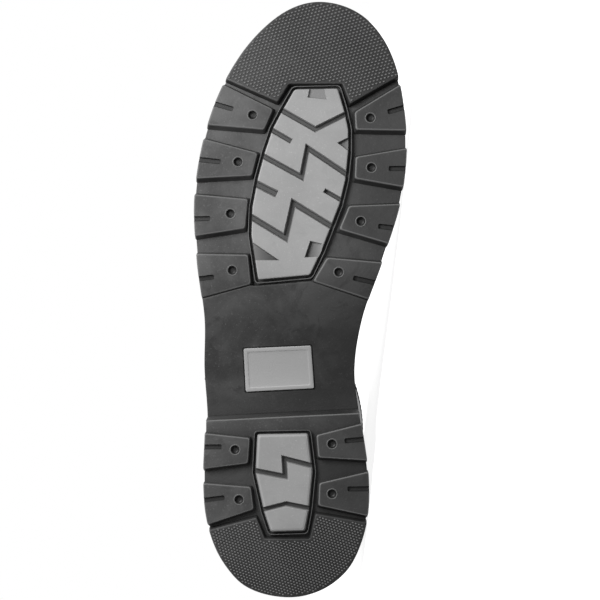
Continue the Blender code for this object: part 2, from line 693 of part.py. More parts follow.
def make_welt(finish):
    """Ring on the sole's edge, round the upper."""
    body = bmesh.new()

    def outer(a):
        return inset_point(a, WELT_INSET)

    def inner(a):
        return inset_point(a, margin(a) - FIT)

    rims = [[curve(a) for a in loop_parameters(curve)] for curve in (outer, inner)]
    low = [[(p.x, p.y, seat(p.y) + FIT) for p in rim] for rim in rims]
    high = [[(p.x, p.y, seat(p.y) + FIT + WELT) for p in rim] for rim in rims]
    add_rings(body, (low[0], high[0], high[1], low[1]), True)
    return new_object("welt", body, finish)


def make_insole(finish):
    """Board that closes the upper underneath, just inside its wall."""
    body = bmesh.new()

    def rim(a):
        return inset_point(a, margin(a) + WALL + FIT)

    ring = [rim(a) for a in loop_parameters(rim)]
    low = [(p.x, p.y, seat(p.y) + FIT) for p in ring]
    high = [(p.x, p.y, seat(p.y) + FIT + INSOLE) for p in ring]
    add_slab(body, low, high)
    return new_object("insole", body, finish)


def wall_lift(t):
    """Lift of the outer face: the shaft steps in above the vamp line, and the collar's fold steps out."""
    if t < VAMP_LINE:
        return 0.0
    return -SHAFT_STEP if t < COLLAR_LINE else -COLLAR_STEP


def make_upper(finish):
    """Hollow vamp and shaft, open at the collar and underneath."""
    body = bmesh.new()
    around = loop_parameters(feather_point)
    outer = []
    for t in UPPER_LEVELS:
        if t in (VAMP_LINE, COLLAR_LINE):
            outer.append((t, wall_lift(t - LEVEL_STEP)))
        outer.append((t, wall_lift(t)))
    rings = [[lifted(a, t, lift) for a in around] for t, lift in outer]
    rings += [[lifted(a, t, -WALL) for a in around] for t in UPPER_LEVELS[::-2]]
    add_rings(body, rings, True)
    return new_object("upper", body, finish)


def make_counter(finish):
    """Cover round the heel, high behind and falling toward its front ends."""
    body = bmesh.new()
    places = [a - 1 if a > 0.5 else a for a in loop_parameters(feather_point)]
    places = sorted(a for a in places if abs(a) < COUNTER_REACH) + [COUNTER_REACH]
    grids = []
    for lift in (OVERLAY_FIT, OVERLAY_FIT + OVERLAY):
        grid = []
        for a in [-COUNTER_REACH] + places:
            across = a / COUNTER_REACH
            top = COUNTER_FRONT + (COUNTER_BACK - COUNTER_FRONT) * (1 - across**2)
            levels = [STRAP_FOOT + (top - STRAP_FOOT) * j / COUNTER_ROWS for j in range(COUNTER_ROWS + 1)]
            grid.append([lifted(a, t, lift) for t in levels])
        grids.append(grid)
    add_sheet(body, *grids)
    return new_object("counter", body, finish)


def make_backstay(finish):
    """Strip over the rear seam of the shaft, from the vamp line to the collar's fold."""
    body = bmesh.new()
    low, high = BACKSTAY_SPAN
    levels = [low + (high - low) * j / BACKSTAY_ROWS for j in range(BACKSTAY_ROWS + 1)]
    places = [BACKSTAY_REACH * share for share in BACKSTAY_SHARES]
    grids = []
    for lift in (OVERLAY_FIT - SHAFT_STEP, OVERLAY_FIT - SHAFT_STEP + OVERLAY):
        grids.append([[lifted(a, t, lift) for t in levels] for a in places])
    add_sheet(body, *grids)
    return new_object("backstay", body, finish)


# Straps and buckles

class Band:
    """Band of the upper's surface along a line of the side view, measured from its first end."""

    SAMPLES = 80
    PASSES = 4

    def __init__(self, point, up, start, finish):
        """Take a point (y, z) of the middle line, the direction up across it, and the end of each level."""
        self.point = point
        self.up = up
        self.ends = {}
        self.start = start
        self.finish = finish
        marks = [self.place_at(i / self.SAMPLES, 0.0, 0.0) for i in range(self.SAMPLES + 1)]
        self.run = [0.0]
        for before, after in zip(marks, marks[1:]):
            self.run.append(self.run[-1] + (after - before).length)
        self.length = self.run[-1]

    def level(self, a, across):
        """Section number where the surface at a lies the stated distance across the band."""
        def height(t):
            spot = upper_point(a, t)
            return (spot.y - self.point[0]) * self.up[0] + (spot.z - self.point[1]) * self.up[1]
        return solve(height, 0.0, SECTION_KNOTS[-1], across)

    def place_at(self, share, across, lift):
        if across not in self.ends:
            self.ends[across] = (self.start(self, across), self.finish(self, across))
        first, last = self.ends[across]
        a = first + (last - first) * share
        return lifted(a, self.level(a, across), lift)

    def place(self, distance, across, lift):
        """Point at a distance along the band, across it and off the surface."""
        i = min(max(bisect.bisect_right(self.run, distance) - 1, 0), self.SAMPLES - 1)
        share = (i + (distance - self.run[i]) / (self.run[i + 1] - self.run[i])) / self.SAMPLES
        from_end = max(min(distance, self.length - distance), 0.0)
        if across and from_end:
            middle = self.place_at(share, 0.0, 0.0)
            along = self.place_at(share + BAND_STEP, 0.0, 0.0) - self.place_at(share - BAND_STEP, 0.0, 0.0)
            along.normalize()
            square = share
            for _ in range(self.PASSES):
                here = self.place_at(square, across, 0.0)
                rate = (self.place_at(square + BAND_STEP, across, 0.0) - here).dot(along) / BAND_STEP
                square -= (here - middle).dot(along) / rate
                square = min(max(square, share * SQUARE_KEEP), 1 - (1 - share) * SQUARE_KEEP)
            share += (square - share) * min(from_end / SQUARE_RUN, 1.0)
        return self.place_at(share, across, lift)


def instep_band():
    """From the outer side of the welt, over the instep, to the inner side of the welt."""
    down = Vector((INSTEP_FOOT[0] - INSTEP_TOP[0], INSTEP_FOOT[1] - INSTEP_TOP[1])).normalized()

    def outer_end(band, across):
        return solve(lambda a: band.level(a, across), INSTEP_SEARCH, 0.5, STRAP_FOOT)

    def inner_end(band, across):
        return 1 - solve(lambda a: band.level(1 - a, across), INSTEP_SEARCH, 0.5, STRAP_FOOT)

    return Band(INSTEP_TOP, (down.y, -down.x), outer_end, inner_end)


def shaft_band():
    """Along the outer side of the shaft, from its front to its back."""
    front, rear = SHAFT_STRAP_SPAN
    return Band((0.0, SHAFT_STRAP_HEIGHT), (0.0, 1.0), lambda band, w: front, lambda band, w: rear)


def strap_rows(band, plan):
    """Cross-lines of a strap as distance, underside and width: on its tab, over the hinge bar, on the upper."""
    roller = plan.hinge + FRAME_LENGTH
    rows = [(plan.tip + width.run, STRAP_OVER_TAB, STRAP_HALF * width.share) for width in TIP_WIDTHS]
    rows.append((plan.hinge - BEFORE_HINGE, STRAP_OVER_TAB, STRAP_HALF))
    rows += [(plan.hinge + end * HINGE_REACH, STRAP_OVER_HINGE, STRAP_HALF) for end in (-1, 1)]
    far = roller + PAST_ROLLER
    marks = [roller - BEFORE_ROLLER, roller, far]
    marks += [far + (band.length - far) * (i + 1) / plan.steps for i in range(plan.steps)]
    return rows + [(distance, OVERLAY_FIT, STRAP_HALF) for distance in marks]


def make_strap(name, band, plan, base, finish):
    """Strap through its buckle, with a narrowed tip."""
    grids = []
    for extra in (0.0, STRAP):
        grid = []
        for distance, lift, half in strap_rows(band, plan):
            lift += base + extra
            grid.append([band.place(distance, half * share, lift) for share in CROSS_SHARES])
        grids.append(grid)
    body = bmesh.new()
    add_sheet(body, *grids)
    return new_object(name, body, finish)


def make_tab(name, band, plan, base, finish):
    """Tab that ends at the buckle's hinge bar."""
    end = plan.hinge - WIRE - FIT
    grids = []
    for lift in (TAB_FIT, TAB_FIT + STRAP):
        grid = []
        for i in range(TAB_STEPS + 1):
            distance = end * i / TAB_STEPS
            grid.append([band.place(distance, TAB_HALF * share, base + lift) for share in CROSS_SHARES])
        grids.append(grid)
    body = bmesh.new()
    add_sheet(body, *grids)
    return new_object(name, body, finish)


class BuckleFrame:
    """Axes of a buckle on its band: the hinge bar, the roller bar and the directions between them."""

    def __init__(self, band, plan, base):
        self.hinge = band.place(plan.hinge, 0.0, base + HINGE_LIFT)
        self.roller = band.place(plan.hinge + FRAME_LENGTH, 0.0, base + ROLLER_LIFT)
        self.along = (self.roller - self.hinge).normalized()
        middle = plan.hinge + FRAME_LENGTH / 2
        across = band.place(middle, STRAP_HALF, base) - band.place(middle, -STRAP_HALF, base)
        self.across = (across - self.along * across.dot(self.along)).normalized()
        self.out = self.across.cross(self.along)
        if self.out.dot(band.place(middle, 0.0, base + 1.0) - band.place(middle, 0.0, base)) < 0:
            self.out = -self.out


def make_wire(name, points, radius, closed, finish):
    """Round wire through points in millimetres."""
    curve = bpy.data.curves.new(name, "CURVE")
    curve.dimensions = "3D"
    curve.bevel_depth = radius * MM
    curve.bevel_resolution = 2
    curve.use_fill_caps = True
    spline = curve.splines.new("POLY")
    spline.points.add(len(points) - 1)
    for target, point in zip(spline.points, points):
        target.co = (*(point * MM), 1.0)
    spline.use_cyclic_u = closed
    curve.materials.append(finish)
    obj = bpy.data.objects.new(name, curve)
    bpy.context.scene.collection.objects.link(obj)
    return obj


def make_buckle(name, frame, finish):
    """Rounded rectangle of wire: hinge bar, two sides and the bar inside the roller."""
    half_length = (frame.roller - frame.hinge).length / 2
    centre = (frame.hinge + frame.roller) / 2
    points = []
    for sign_along, sign_across, first in ((1, 1, 0), (-1, 1, 90), (-1, -1, 180), (1, -1, 270)):
        hub = centre + frame.along * sign_along * (half_length - BUCKLE_CORNER)
        hub = hub + frame.across * sign_across * (FRAME_HALF - BUCKLE_CORNER)
        for i in range(CORNER_STEPS + 1):
            turn = math.radians(first + 90 * i / CORNER_STEPS)
            points.append(hub + BUCKLE_CORNER * (frame.along * math.cos(turn) + frame.across * math.sin(turn)))
    return make_wire(name, points, WIRE, True, finish)


def make_roller(name, frame, finish):
    """Sleeve round the far bar of the buckle."""
    body = bmesh.new()
    rings = []
    for end, radius in ((-1, ROLLER), (1, ROLLER), (1, ROLLER_BORE), (-1, ROLLER_BORE)):
        centre = frame.roller + frame.across * end * (FRAME_HALF - BUCKLE_CORNER - FIT)
        ring = []
        for i in range(ROLLER_SIDES):
            turn = 2 * math.pi * i / ROLLER_SIDES
            ring.append(centre + radius * (frame.along * math.cos(turn) + frame.out * math.sin(turn)))
        rings.append(ring)
    add_rings(body, rings, True)
    return new_object(name, body, finish)


def make_prong(name, frame, finish):
    """Prong on top of the strap, from over the hinge bar to its rest on the roller."""
    reach = (frame.roller - frame.hinge).length
    rest = ROLLER + FIT + PRONG
    points = []
    for mark in PRONG_LINE:
        spot = frame.hinge + frame.along * (mark.share * reach + mark.run)
        points.append(spot + frame.out * (rest + mark.rise))
    return make_wire(name, points, PRONG, False, finish)


# Laying the boot down

def outer_points(names):
    """Points of the evaluated objects in the upright frame, in millimetres."""
    graph = bpy.context.evaluated_depsgraph_get()
    points = []
    for name in names:
        evaluated = bpy.data.objects[name].evaluated_get(graph)
        mesh = evaluated.to_mesh()
        points += [vert.co / MM for vert in mesh.vertices]
        evaluated.to_mesh_clear()
    return points


def resting_pose(names):
    """Matrix that rests the inner side on the floor: ball and heel of the sole, and the shaft."""
    sole = outer_points(("outsole", "heel", "welt"))
    zones = (
        [p for p in sole if p.y > ARCH_FRONT],
        [p for p in sole if p.y < ARCH_BACK],
        [p for p in outer_points(("upper",)) if p.z > ARCH_FRONT],
    )
    down = Vector((-1.0, 0.0, 0.0))
    for _ in range(8):
        ball, heel, shaft = (max(zone, key=down.dot) for zone in zones)
        down = (heel - ball).cross(shaft - ball).normalized()
        if down.x > 0:
            down = -down
    toward_toe = Vector((0.0, 1.0, 0.0))
    x_axis = (toward_toe - down * toward_toe.dot(down)).normalized()
    z_axis = -down
    turn = Matrix((x_axis, z_axis.cross(x_axis), z_axis))
    laid = [turn @ p for p in outer_points(names)]
    lows = [min(p[k] for p in laid) for k in range(3)]
    highs = [max(p[k] for p in laid) for k in range(3)]
    shift = Vector((-(lows[0] + highs[0]) / 2, -(lows[1] + highs[1]) / 2, -lows[2]))
    return Matrix.Translation(shift * MM) @ turn.to_4x4()


def main():
    for obj in list(bpy.data.objects):
        bpy.data.objects.remove(obj)
    rubber = material("black_rubber", RUBBER, 0.6)
    pale = material("pale_rubber", PALE_RUBBER, 0.55)
    leather = material("black_leather", LEATHER, 0.4)
    board = material("insole_board", BOARD, 0.7)
    steel = material("buckle_steel", STEEL, 0.3, 1.0)
    made = [
        make_outsole(rubber),
        make_heel(rubber),
        make_insert("forefoot_insert", FOREFOOT_INSERT, FOREFOOT_GROOVES, FOREFOOT_POCKETS, True, pale),
        make_insert("heel_insert", HEEL_INSERT, HEEL_GROOVES, (), False, pale),
        make_arch_plate(pale),
        make_welt(leather),
        make_insole(board),
        make_upper(leather),
        make_counter(leather),
        make_backstay(leather),
    ]
    for label, band, plan, base in (
        ("instep", instep_band(), INSTEP_PLAN, 0.0),
        ("shaft", shaft_band(), SHAFT_PLAN, -SHAFT_STEP),
    ):
        frame = BuckleFrame(band, plan, base)
        made.append(make_strap(label + "_strap", band, plan, base, leather))
        made.append(make_tab(label + "_tab", band, plan, base, leather))
        made.append(make_buckle(label + "_buckle", frame, steel))
        made.append(make_roller(label + "_roller", frame, steel))
        made.append(make_prong(label + "_prong", frame, steel))
    bpy.context.view_layer.update()
    boot = bpy.data.objects.new("boot", None)
    bpy.context.scene.collection.objects.link(boot)
    boot.matrix_world = resting_pose([obj.name for obj in made])
    for obj in list(bpy.context.scene.collection.objects):
        if obj is not boot:
            obj.parent = boot
    bpy.context.view_layer.update()


main()
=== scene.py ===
"""Looks of an engineer boot for the right foot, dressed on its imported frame.

Sizes are in millimetres in the upright boot's own frame: x to the outer side, y from heel to toe, z up from
the plane of the tread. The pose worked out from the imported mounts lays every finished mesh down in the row
frame.
"""

import json
import logging
import math
from dataclasses import dataclass, field
from enum import Enum
from typing import Callable, NamedTuple, Sequence

import bmesh
import bpy
import numpy as np
from mathutils import Matrix, Vector


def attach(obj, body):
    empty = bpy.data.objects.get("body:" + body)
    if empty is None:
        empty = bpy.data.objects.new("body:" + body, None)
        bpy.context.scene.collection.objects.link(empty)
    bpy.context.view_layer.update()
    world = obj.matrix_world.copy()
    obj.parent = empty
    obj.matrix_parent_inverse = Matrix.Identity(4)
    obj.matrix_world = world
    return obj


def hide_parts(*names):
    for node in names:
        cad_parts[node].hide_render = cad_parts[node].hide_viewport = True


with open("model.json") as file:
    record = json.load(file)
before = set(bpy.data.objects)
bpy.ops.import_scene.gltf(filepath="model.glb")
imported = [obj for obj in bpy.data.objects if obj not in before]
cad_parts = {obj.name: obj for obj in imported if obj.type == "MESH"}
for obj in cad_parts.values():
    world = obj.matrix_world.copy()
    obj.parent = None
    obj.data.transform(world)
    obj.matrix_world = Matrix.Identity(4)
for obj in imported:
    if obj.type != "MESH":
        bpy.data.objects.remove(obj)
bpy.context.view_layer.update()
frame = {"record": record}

LOG = logging.getLogger("boot")
MM = 0.001
Point2 = tuple[float, float]
Polygon = list[Vector]
Array = np.ndarray
BMesh = bmesh.types.BMesh
Material = bpy.types.Material
Colour = tuple[float, float, float, float]


# Shader arithmetic


class Value:
    """Output of a shader node that takes part in arithmetic."""

    def __init__(self, tree: "NodeKit", socket: bpy.types.NodeSocket) -> None:
        """Keep the tree that the socket belongs to."""
        self.tree = tree
        self.socket = socket

    def math(self, operation: str, first: object, second: object = 0.0) -> "Value":
        """Math node on two values or numbers."""
        return self.tree.node("ShaderNodeMath", {"operation": operation}, {0: first, 1: second})

    def __add__(self, other: object) -> "Value":
        """Sum."""
        return self.math("ADD", self, other)

    __radd__ = __add__

    def __sub__(self, other: object) -> "Value":
        """Difference."""
        return self.math("SUBTRACT", self, other)

    def __rsub__(self, other: object) -> "Value":
        """Difference with this value taken away."""
        return self.math("SUBTRACT", other, self)

    def __mul__(self, other: object) -> "Value":
        """Product."""
        return self.math("MULTIPLY", self, other)

    __rmul__ = __mul__

    def ramp(self, low: float, high: float) -> "Value":
        """Smooth rise from 0 at low to 1 at high."""
        settings = {"interpolation_type": "SMOOTHSTEP"}
        return self.tree.node("ShaderNodeMapRange", settings, {0: self, 1: low, 2: high, 3: 0.0, 4: 1.0})


class NodeKit:
    """Node tree that is built node by node."""

    def __init__(self, tree: bpy.types.NodeTree) -> None:
        """Keep the tree's nodes and links."""
        self.nodes = tree.nodes
        self.links = tree.links

    def node(self, kind: str, settings: dict[str, object], sockets: dict[object, object],
             output: int = 0) -> Value:
        """Any other node.

        Args:
            kind: Type name of the node.
            settings: Attributes that are set first.
            sockets: Numbers, colours or values for its inputs, by name or place.
            output: Place of the output to hand on.

        Returns:
            The output as a value.
        """
        made = self.nodes.new(kind)
        for key, setting in settings.items():
            setattr(made, key, setting)
        self.feed(made, sockets)
        return Value(self, made.outputs[output])

    def feed(self, made: bpy.types.Node, sockets: dict[object, object]) -> None:
        """Link or set the inputs of a node.

        Args:
            made: The node.
            sockets: Numbers, colours or values for its inputs, by name or place.
        """
        for key, content in sockets.items():
            if isinstance(content, Value):
                self.links.new(content.socket, made.inputs[key])
            else:
                made.inputs[key].default_value = content


class Finish(NodeKit):
    """Procedural material on one Principled shader."""

    OBJECT_OUTPUT = 3

    def __init__(self, name: str) -> None:
        """Make the material with its shader and the place on the piece.

        Args:
            name: Name of the material.
        """
        self.material = bpy.data.materials.new(name)
        self.material.use_nodes = True
        super().__init__(self.material.node_tree)
        self.shader = self.nodes["Principled BSDF"]
        self.place = self.node("ShaderNodeTexCoord", {}, {}, self.OBJECT_OUTPUT)

    def noise(self, scale: float, detail: float = 3.0, rough: float = 0.5, turn: float = 0.0) -> Value:
        """Noise over the piece.

        Args:
            scale: Cells in a metre.
            detail: Octaves.
            rough: Share of the fine octaves.
            turn: Distortion.

        Returns:
            The noise, near 0.5 in the middle.
        """
        return self.node("ShaderNodeTexNoise", {}, {
            "Vector": self.place, "Scale": scale, "Detail": detail, "Roughness": rough, "Distortion": turn,
        })

    def cells(self, scale: float) -> Value:
        """Distance in a cell pattern with the stated number of cells in a metre."""
        return self.node("ShaderNodeTexVoronoi", {}, {"Vector": self.place, "Scale": scale})

    def attribute(self, name: str) -> Value:
        """Number stored on the mesh under a name."""
        return self.node("ShaderNodeAttribute", {"attribute_name": name}, {}, 2)

    def mix(self, share: Value, first: Sequence[float], second: object) -> Value:
        """Colour between two others."""
        settings = {"data_type": "RGBA"}
        return self.node("ShaderNodeMix", settings, {0: share, 6: first, 7: second}, 2)

    def bump(self, height: Value, distance: float, strength: float = 1.0) -> Value:
        """Normal bent by a height, in millimetres of depth."""
        sockets = {"Height": height, "Distance": distance * MM, "Strength": strength}
        return self.node("ShaderNodeBump", {}, sockets)


def grey(level: float) -> Colour:
    """Neutral colour."""
    return (level, level, level, 1.0)


@dataclass(frozen=True)
class Rubber:
    """Moulded rubber with a little bloom, scuffs and a fine mould grain, painted shade low on the inner side,
    and stored tones of edge wear, painted highlight and painted shade.
    """

    name: str
    dark: Colour
    light: Colour
    # Colour of wear, also used for painted highlights on edges.
    worn: Colour
    # Colour of painted shade, used low on the inner side and in recesses.
    deep: Colour
    side_shade: float
    roughness: float
    specular: float

    def make(self) -> Material:
        """Build the material, with painted shade that darkens it lower down, on the inner side.

        Returns:
            The material.
        """
        look = Finish(self.name)
        tone = look.attribute("tone")
        height = look.node("ShaderNodeSeparateXYZ", {}, {0: look.place}, 2)
        cloud = look.noise(26.0, 5.0, 0.6, 0.8).ramp(0.30, 0.70)
        smudge = look.noise(80.0, 4.0, 0.62, 1.4).ramp(0.50, 0.74)
        speck = look.noise(1100.0, 2.0, 0.6).ramp(0.60, 0.80)
        scuff = look.noise(260.0, 5.0, 0.72, 1.6).ramp(0.56, 0.80)
        colour = look.mix(cloud, self.dark, self.light)
        colour = look.mix(smudge * 0.8, colour, self.dark)
        colour = look.mix(speck * 0.70 + scuff * 0.40, colour, self.worn)
        # Painted shade: darker toward the deep colour lower down, on the inner side that lies toward the
        # floor.
        colour = look.mix((1.0 - height.ramp(0.005, 0.095)) * self.side_shade, colour, self.deep)
        # Stored tone: above 0 lightens toward the worn colour, as edge wear and painted highlight; below 0
        # darkens toward the deep colour as painted shade.
        colour = look.mix(tone.ramp(0.0, 1.0) * 0.85, colour, self.worn)
        colour = look.mix(tone.ramp(0.0, -1.0), colour, self.deep)
        grain = look.noise(1400.0, 2.0, 0.6) + look.noise(240.0, 3.0, 0.5) * 0.6
        look.feed(look.shader, {
            "Base Color": colour,
            "Roughness": self.roughness - scuff * 0.10 + speck * 0.08,
            "Specular IOR Level": self.specular,
            "Normal": look.bump(grain, 0.10, 0.8),
        })
        return look.material


@dataclass(frozen=True)
class Leather:
    """Grain leather with pores, pull-up on the creases and a waxed gloss."""

    name: str
    dark: Colour
    light: Colour
    roughness: float
    coat: float
    grain: float

    def make(self) -> Material:
        """Build the material.

        Returns:
            The material.
        """
        look = Finish(self.name)
        cloud = look.noise(30.0, 4.0, 0.6, 0.6).ramp(0.35, 0.72)
        pull = look.noise(110.0, 4.0, 0.65, 1.5).ramp(0.58, 0.82)
        cells = look.cells(1150.0)
        fine = look.cells(2600.0)
        fold = look.noise(420.0, 4.0, 0.6, 2.0)
        look.feed(look.shader, {
            "Base Color": look.mix(cloud * 0.6 + pull * 0.4, self.dark, self.light),
            "Roughness": self.roughness + cloud * 0.10 - pull * 0.07 + cells * 0.06,
            "Coat Weight": self.coat - pull * self.coat * 0.5,
            "Coat Roughness": 0.22,
            "Normal": look.bump(cells * 0.7 + fine * 0.25 + fold * 0.8, self.grain, 0.7),
        })
        return look.material


@dataclass(frozen=True)
class Steel:
    """Nickel-finished steel with fine wear marks."""

    name: str
    colour: Colour
    worn: Colour
    roughness: float

    def make(self) -> Material:
        """Build the material.

        Returns:
            The material.
        """
        look = Finish(self.name)
        wear = look.noise(260.0, 5.0, 0.7, 2.5).ramp(0.45, 0.75)
        marks = look.noise(2200.0, 3.0, 0.6, 4.0)
        look.feed(look.shader, {
            "Base Color": look.mix(wear, self.colour, self.worn),
            "Roughness": self.roughness + wear * 0.14 + marks * 0.06,
            "Metallic": 1.0,
            "Normal": look.bump(marks, 0.03, 0.5),
        })
        return look.material


@dataclass(frozen=True)
class Thread:
    """Waxed thread with its twist."""

    name: str
    dark: Colour
    light: Colour

    def make(self) -> Material:
        """Build the material.

        Returns:
            The material.
        """
        look = Finish(self.name)
        twist = look.noise(1800.0, 2.0, 0.5, 3.0)
        look.feed(look.shader, {
            "Base Color": look.mix(twist.ramp(0.35, 0.7), self.dark, self.light),
            "Roughness": 0.62 - twist * 0.15,
            "Normal": look.bump(twist, 0.12, 0.8),
        })
        return look.material


@dataclass(frozen=True)
class Paper:
    """Plain pale sheet of the studio."""

    name: str
    level: float
    glow: float

    def make(self) -> Material:
        """Build the material.

        Returns:
            The material.
        """
        look = Finish(self.name)
        cloud = look.noise(2.0, 2.0, 0.5)
        look.feed(look.shader, {
            "Base Color": look.mix(cloud, grey(self.level), grey(self.level * 0.985)),
            "Roughness": 0.9,
            "Specular IOR Level": 0.0,
            "Emission Color": grey(1.0),
            "Emission Strength": self.glow,
        })
        return look.material


class Slot(Enum):
    """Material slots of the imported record."""

    RUBBER = "black_rubber"
    PALE = "pale_rubber"
    LEATHER = "black_leather"
    WELT = "welt_leather"
    BOARD = "insole_board"
    STEEL = "buckle_steel"


@dataclass
class Finishes:
    """One of each finish of the boot, made with the set."""

    rubber: Material = field(default_factory=Rubber(
        "moulded_rubber", grey(0.035), grey(0.078), grey(0.142), grey(0.010), 0.58, 0.52, 0.35).make)
    pale: Material = field(default_factory=Rubber(
        "pale_moulded_rubber", grey(0.240), grey(0.278), grey(0.40), grey(0.055), 0.0, 0.52, 0.35).make)
    leather: Material = field(default_factory=Leather(
        "oiled_leather", (0.010, 0.0095, 0.009, 1), (0.024, 0.022, 0.020, 1), 0.36, 0.30, 0.16).make)
    welt: Material = field(default_factory=Leather(
        "welt_edge_leather", (0.014, 0.013, 0.012, 1), (0.034, 0.031, 0.028, 1), 0.46, 0.15, 0.12).make)
    lining: Material = field(default_factory=Leather(
        "lining_leather", (0.30, 0.21, 0.13, 1), (0.40, 0.30, 0.20, 1), 0.62, 0.0, 0.10).make)
    board: Material = field(default_factory=Leather(
        "insole_leather", (0.27, 0.18, 0.11, 1), (0.37, 0.27, 0.17, 1), 0.66, 0.0, 0.10).make)
    steel: Material = field(default_factory=Steel(
        "nickel_steel", (0.62, 0.61, 0.59, 1), (0.44, 0.43, 0.41, 1), 0.20).make)
    thread: Material = field(default_factory=Thread("black_thread", grey(0.018), grey(0.060)).make)
    welt_thread: Material = field(default_factory=Thread(
        "natural_thread", (0.20, 0.17, 0.13, 1), (0.36, 0.31, 0.24, 1)).make)


# Forms shared by the pieces


def smooth_curve(knots: Sequence[float], values: Sequence[float], at: Array) -> Array:
    """Smooth curve through values, with each slope taken from the two neighbours.

    Args:
        knots: Rising places of the values.
        values: Values at the knots.
        at: Places to read.

    Returns:
        The values there.
    """
    knots = np.asarray(knots, float)
    values = np.asarray(values, float)
    gaps = np.diff(knots)
    rates = np.diff(values) / gaps
    weight = gaps[:-1] / (gaps[:-1] + gaps[1:])
    slopes = np.concatenate(([rates[0]], rates[:-1] * (1 - weight) + rates[1:] * weight, [rates[-1]]))
    i = np.clip(np.searchsorted(knots, at, side="right") - 1, 0, len(knots) - 2)
    s = (at - knots[i]) / gaps[i]
    start = (1 + 2 * s) * (1 - s) ** 2 * values[i] + s * (1 - s) ** 2 * gaps[i] * slopes[i]
    return start + s * s * (3 - 2 * s) * values[i + 1] + s * s * (s - 1) * gaps[i] * slopes[i + 1]


def bisected(rise: Callable[[Array], Array], low: Array, high: Array, passes: int = 30) -> Array:
    """Arguments where a rising function crosses zero.

    Args:
        rise: Function of an array.
        low: Arguments below the crossing.
        high: Arguments above it.
        passes: Halvings.

    Returns:
        The arguments.
    """
    for _ in range(passes):
        middle = (low + high) / 2
        below = rise(middle) < 0
        low = np.where(below, middle, low)
        high = np.where(below, high, middle)
    return (low + high) / 2


class Station(NamedTuple):
    """Row of the sole's outline: place from the heel, inner and outer edge, width of the welt."""

    along: float
    inner: float
    outer: float
    margin: float


@dataclass(frozen=True)
class SoleForm:
    """Outline and side profile of the sole."""

    length: float = 312.0
    lug_depth: float = 5.0
    slab: float = 7.5
    heel_rise: float = 26.0
    arch_back: float = 98.0
    arch_front: float = 172.0
    spring_start: float = 225.0
    spring_rise: float = 10.0
    step: float = 0.001
    stations: tuple[Station, ...] = (
        Station(0.0, -1.6, -1.6, 4.5),
        Station(7.0, -24.0, 22.9, 4.5),
        Station(14.0, -31.8, 29.7, 4.7),
        Station(25.0, -38.0, 36.5, 5.0),
        Station(45.0, -43.0, 42.2, 5.0),
        Station(61.0, -43.3, 43.2, 4.8),
        Station(93.0, -39.3, 42.4, 4.2),
        Station(118.0, -36.6, 43.8, 3.6),
        Station(145.0, -40.2, 43.1, 4.2),
        Station(176.0, -50.7, 46.6, 6.0),
        Station(207.0, -60.0, 47.9, 7.0),
        Station(233.0, -63.0, 44.4, 7.2),
        Station(259.0, -61.2, 36.7, 7.4),
        Station(281.0, -56.2, 25.4, 7.5),
        Station(302.0, -43.0, 7.0, 7.5),
        Station(312.0, -17.6, -17.6, 7.5),
    )

    def knots(self) -> list[float]:
        """Shares of the half turn from heel to toe at the stations."""
        return [math.acos(1 - 2 * row.along / self.length) / math.pi for row in self.stations]

    def floor(self, y: Array) -> Array:
        """Height of the groove floor above the tread plane: arch, heel and toe spring.

        Args:
            y: Distances from the heel.

        Returns:
            The heights.
        """
        step = np.clip((self.arch_front - y) / (self.arch_front - self.arch_back), 0.0, 1.0)
        spring = np.maximum(y - self.spring_start, 0.0) / (self.length - self.spring_start)
        heel = self.heel_rise * step * step * (3 - 2 * step)
        return self.lug_depth + heel + self.spring_rise * spring * spring

    def seat(self, y: Array) -> Array:
        """Height of the sole's upper face."""
        return self.floor(y) + self.slab

    def outline(self, a: Array) -> Array:
        """Points of the outline, from the heel by the outer side to the toe at 0.5 and back by the inner.

        Args:
            a: Places round the sole.

        Returns:
            Rows of x and y.
        """
        a = np.mod(np.asarray(a, float), 1.0)
        u = np.where(a <= 0.5, 2 * a, 2 - 2 * a)
        outer = smooth_curve(self.knots(), [row.outer for row in self.stations], u)
        inner = smooth_curve(self.knots(), [row.inner for row in self.stations], u)
        along = self.length * (1 - np.cos(np.pi * u)) / 2
        return np.stack((np.where(a <= 0.5, outer, inner), along), axis=-1)

    def inset(self, a: Array, distance: Array) -> Array:
        """Points of the outline moved inward, square to it.

        Args:
            a: Places round the sole.
            distance: How far each point moves.

        Returns:
            Rows of x and y.
        """
        along = self.outline(a + self.step) - self.outline(a - self.step)
        along /= np.linalg.norm(along, axis=-1, keepdims=True)
        square = np.stack((-along[..., 1], along[..., 0]), axis=-1)
        return self.outline(a) + np.asarray(distance, float)[..., None] * square

    def margin(self, a: Array) -> Array:
        """Width of the welt round the sole.

        Args:
            a: Places round the sole.

        Returns:
            The widths.
        """
        a = np.mod(np.asarray(a, float), 1.0)
        u = np.where(a <= 0.5, 2 * a, 2 - 2 * a)
        return smooth_curve(self.knots(), [row.margin for row in self.stations], u)

    def feather(self, a: Array) -> Array:
        """Edge of the last's bottom, where the upper meets the sole."""
        return self.inset(a, self.margin(a))

    def edge(self, side: int, y: Array) -> Array:
        """Points of the outline on one side at distances from the heel."""
        u = np.arccos(np.clip(1 - 2 * np.asarray(y, float) / self.length, -1.0, 1.0)) / np.pi
        return self.outline(u / 2 if side > 0 else 1 - u / 2)

    def run(self, side: int, start: float, end: float, steps: int) -> Polygon:
        """Corners along the outline on one side."""
        return [Vector(p) for p in self.edge(side, np.linspace(start, end, steps + 1))]


class Section(NamedTuple):
    """Row of the upper: front and back point, half width, and how far it is an oval."""

    toe_x: float
    toe_y: float
    toe_rise: float
    heel_y: float
    heel_rise: float
    half: float
    waist: float
    taper: float
    oval: float
    breadth: float


